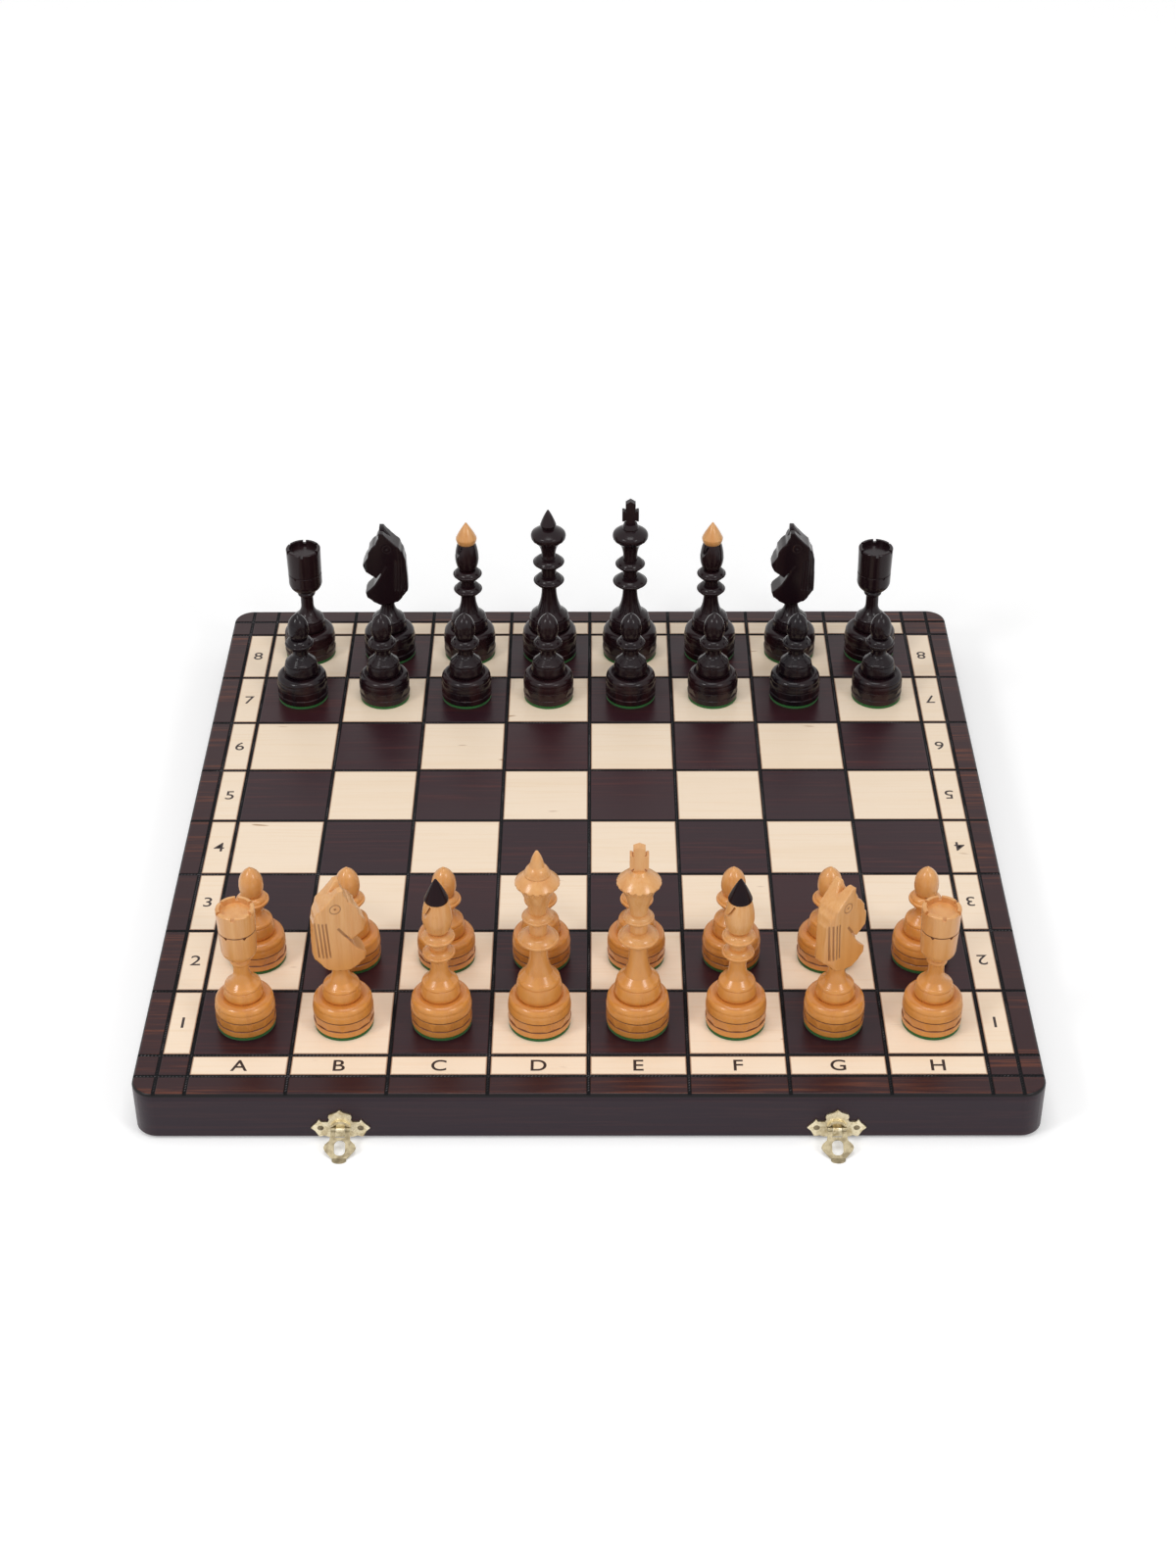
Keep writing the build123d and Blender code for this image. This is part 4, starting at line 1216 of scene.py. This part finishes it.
def half_board_stitches(side):
    """The stitches of one half: the lines from side to side, then those from front to rear."""
    mesh = bmesh.new()
    lines = [SQUARE * n for n in range(1, 5)] + [LABEL_LINE]
    for y in lines:
        count = int(2 * (HALF_WIDTH - SIDE_END) / STITCH_PITCH)
        for n in range(count + 1):
            x = (n - count / 2) * STITCH_PITCH
            add_stitch(mesh, x, side * y, radians(STITCH_SLANT))
    for x in [0.0] + lines + [-value for value in lines]:
        count = int((HALF_DEPTH - FRONT_END) / STITCH_PITCH)
        for n in range(count):
            y = side * (n + SEAM_START) * STITCH_PITCH
            add_stitch(mesh, x, y, radians(90 - STITCH_SLANT))
    return mesh


HALVES = (("front", -1), ("rear", 1))
for half, side in HALVES:
    mesh = half_board_stitches(side)
    print(half, "half:", len(mesh.faces) // STITCH_FACES, "stitches")
    finish_piece(f"{half}_stitches", to_metres(mesh), stitch_black, f"{half}_half")

# %% [markdown]
# The files are lettered A to H and the ranks numbered 1 to 8, printed in dark brown. Those at
# the right and rear are turned round for the other player. They could be a picture, but Blender's
# own plain font is close to the real one, and as thin meshes they stay sharp at any distance.

# %% Print material
PRINT_DARK = (0.012, 0.005, 0.005)
PRINT_WORN = (0.036, 0.017, 0.013)

print_brown, tree, shader = new_material("printed_labels")
wear = noise(tree, fixed_place(tree), scale=1300.0, detail=3.0)
fill(tree, shader, {
    "Base Color": mix(tree, wear, PRINT_DARK, PRINT_WORN),
    "Roughness": level(tree, wear, low=0.4, high=0.6),
})
print("material", print_brown.name)

# %% Printed letters and numbers
LABEL_PLACE = (FIELD + LABEL_LINE) / 2
LABEL_HEIGHT = 9.4
LABEL_WIDENING = 1.06
LETTER_GAIN = 0.011
NUMBER_GAIN = 0.005
PRINT_GAP = 0.02
PRINT_THICKNESS = 0.03
RANK_COUNT = 8


def glyph(text, place, turn):
    """Mesh of one label, centred on its place. Its flat side is drawn 1 high and scaled."""
    curve = bpy.data.curves.new("glyph", "FONT")
    curve.body = text
    curve.size = 1.0
    curve.extrude = 0.5
    curve.offset = NUMBER_GAIN if text.isdigit() else LETTER_GAIN
    holder = bpy.data.objects.new("glyph", curve)
    flat = bpy.data.meshes.new_from_object(holder)
    xs = [vertex.co.x for vertex in flat.vertices]
    ys = [vertex.co.y for vertex in flat.vertices]
    size = LABEL_HEIGHT / (max(ys) - min(ys))
    centre = Vector(((max(xs) + min(xs)) / 2, (max(ys) + min(ys)) / 2, -0.5))
    spin = Matrix.Rotation(radians(turn), 4, "Z")
    scale = Matrix.Diagonal((size * LABEL_WIDENING, size, PRINT_THICKNESS, 1))
    lift = Matrix.Translation((*place, BOARD_TOP + PRINT_GAP))
    flat.transform(lift @ spin @ scale @ Matrix.Translation(-centre))
    bpy.data.objects.remove(holder)
    bpy.data.curves.remove(curve)
    return flat


def labels_of(side):
    """Text, place and turn of each label on one half."""
    turn = 0 if side < 0 else 180
    y = side * LABEL_PLACE
    labels = [(letter.upper(), (file_middle(letter), y), turn) for letter in FILES]
    for number in range(1, RANK_COUNT + 1):
        y = SQUARE * (number - (RANK_COUNT + 1) / 2)
        if y * side > 0:
            labels.append((str(number), (-LABEL_PLACE, y), 0))
            labels.append((str(number), (LABEL_PLACE, y), 180))
    return labels


for half, side in HALVES:
    mesh = bmesh.new()
    for text, place, turn in labels_of(side):
        flat = glyph(text, place, turn)
        mesh.from_mesh(flat)
        bpy.data.meshes.remove(flat)
    finish_piece(f"{half}_labels", to_metres(mesh), print_brown, f"{half}_half")
    print(half, "half:", len(labels_of(side)), "labels")

# %% [markdown]
# Felt is cut from a sheet, so a felt disc has a slightly uneven, fuzzy edge that bulges where the
# man's weight presses it. The CAD disc is plain. A cloth simulation would be slow for so little,
# so two waves of different length make the edge of a modelled disc that covers the CAD one.

# %% Felt discs
FOOT_RADIUS = {
    "white": {"king": 18.7, "queen": 18.7, "bishop": 18.0, "knight": 17.9, "rook": 17.7, "pawn": 17.7},
    "black": {"king": 19.6, "queen": 19.6, "bishop": 18.6, "knight": 18.4, "rook": 18.2, "pawn": 17.7},
}
FELT_INSET = 0.8
EDGE_PROFILE = [(0.06, -0.03), (0.26, 0.25), (0.34, 0.9), (0.30, 1.5), (0.10, 1.97)]
DISC_STEPS = 72
LONG_WAVE = (7, 0.04)
SHORT_WAVE = (19, 0.03)
FOOT_RAGGED = 0.3


def ragged_edge(angle, seed):
    """How far the cut edge strays at an angle."""
    (long_count, long_size), (short_count, short_size) = LONG_WAVE, SHORT_WAVE
    long_wave = long_size * sin(long_count * angle + seed)
    return long_wave + short_size * sin(short_count * angle + 2 * seed)


def felt_disc(name, body, centre, radius, seed):
    """A felt disc with an uneven, bulging edge, round a chessman's axis."""
    mesh = bmesh.new()
    rings = []
    for out, height in EDGE_PROFILE:
        ring = []
        for n in range(DISC_STEPS):
            angle = 2 * pi * n / DISC_STEPS
            stray = ragged_edge(angle, seed) * (FOOT_RAGGED + height / FELT_THICKNESS)
            far = radius + out + stray
            at = (centre[0] + far * cos(angle), centre[1] + far * sin(angle), STANDING + height)
            ring.append(mesh.verts.new(at))
        rings.append(ring)
    for lower, upper in zip(rings, rings[1:]):
        for n in range(DISC_STEPS):
            after = (n + 1) % DISC_STEPS
            mesh.faces.new((lower[n], lower[after], upper[after], upper[n]))
    for ring, height in ((rings[0], EDGE_PROFILE[0][1]), (rings[-1], EDGE_PROFILE[-1][1])):
        middle = mesh.verts.new((*centre, STANDING + height))
        for n in range(DISC_STEPS):
            mesh.faces.new((ring[n], ring[(n + 1) % DISC_STEPS], middle))
    return finish_piece(name, to_metres(mesh), felt, body, smooth=True)


men = sorted(name for name in frame["bodies"] if name.startswith(("white_", "black_")))
for seed, name in enumerate(men):
    side, kind = name.split("_")[:2]
    radius = FOOT_RADIUS[side][kind] - FELT_INSET
    felt_disc(name + "_felt", name, man_place(name), radius, float(seed))
print(len(men), "felt discs")

# %% [markdown]
# Inside the case each half is lined with a felt sheet glued under the board. It replaces the
# CAD sheet: a fine grid with the soft unevenness of glued cloth and edges that curl a little. A
# plain box would look like card. The sheet can't move, so no cloth simulation is needed.

# %% Shape of a felt lining
lining_low, lining_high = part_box("front_lining")
TRAY_WIDTH = measured(lining_high.x - lining_low.x)
TRAY_DEPTH = measured(lining_high.y - lining_low.y)
LINING = measured(lining_high.z - lining_low.z)
LINING_STEP = 6.0
LINING_FIT = 0.9995
CURL_HEIGHT = 0.25
CURL_REACH = 5.0
WAVE_HEIGHT = 0.07
WAVE_X = 23.0
WAVE_Y = 27.0
WAVE_TWIST = 31.0
WAVE_BEND = 1.3


def lining_height(x, y):
    """Unevenness of the glued sheet's lower face."""
    edge = min(TRAY_WIDTH / 2 - abs(x), TRAY_DEPTH / 2 - abs(y))
    curl = CURL_HEIGHT * max(0.0, 1 - edge / CURL_REACH) ** 2
    across = 1 + sin(x / WAVE_X + WAVE_BEND * sin(y / WAVE_TWIST))
    return curl + WAVE_HEIGHT * across * (1 + cos(y / WAVE_Y)) / 2


print("linings", TRAY_WIDTH, "by", TRAY_DEPTH, "mm and", LINING, "mm thick")

# %% Felt linings
def lining_layer(mesh, middle_y, upper):
    """A grid of corners for the upper or lower face, as rows."""
    across = int(TRAY_WIDTH / LINING_STEP)
    along = int(TRAY_DEPTH / LINING_STEP)
    rows = []
    for j in range(along + 1):
        y = TRAY_DEPTH * (j / along - 0.5)
        row = []
        for i in range(across + 1):
            x = TRAY_WIDTH * (i / across - 0.5)
            z = PANEL_UNDER if upper else PANEL_UNDER - LINING + lining_height(x, y)
            row.append(mesh.verts.new((x * LINING_FIT, middle_y + y * LINING_FIT, z)))
        rows.append(row)
    return rows


def lining_sheet(half, side):
    """One half's lining, which hangs under the panel."""
    mesh = bmesh.new()
    bottom, top = (lining_layer(mesh, side * HALF_DEPTH / 2, upper) for upper in (False, True))
    along, across = len(bottom) - 1, len(bottom[0]) - 1
    for rows in (bottom, top):
        for j in range(along):
            for i in range(across):
                mesh.faces.new((rows[j][i], rows[j][i + 1], rows[j + 1][i + 1], rows[j + 1][i]))
    rim = [(0, i) for i in range(across)] + [(j, across) for j in range(along)]
    rim += [(along, i) for i in range(across, 0, -1)] + [(j, 0) for j in range(along, 0, -1)]
    for (j0, i0), (j1, i1) in zip(rim, rim[1:] + rim[:1]):
        mesh.faces.new((bottom[j0][i0], bottom[j1][i1], top[j1][i1], top[j0][i0]))
    name = f"{half}_felt_lining"
    sheet = finish_piece(name, to_metres(mesh), felt, f"{half}_half", smooth=True)
    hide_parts(f"{half}_lining")
    return sheet


for half, side in HALVES:
    print(lining_sheet(half, side).name, "laid")
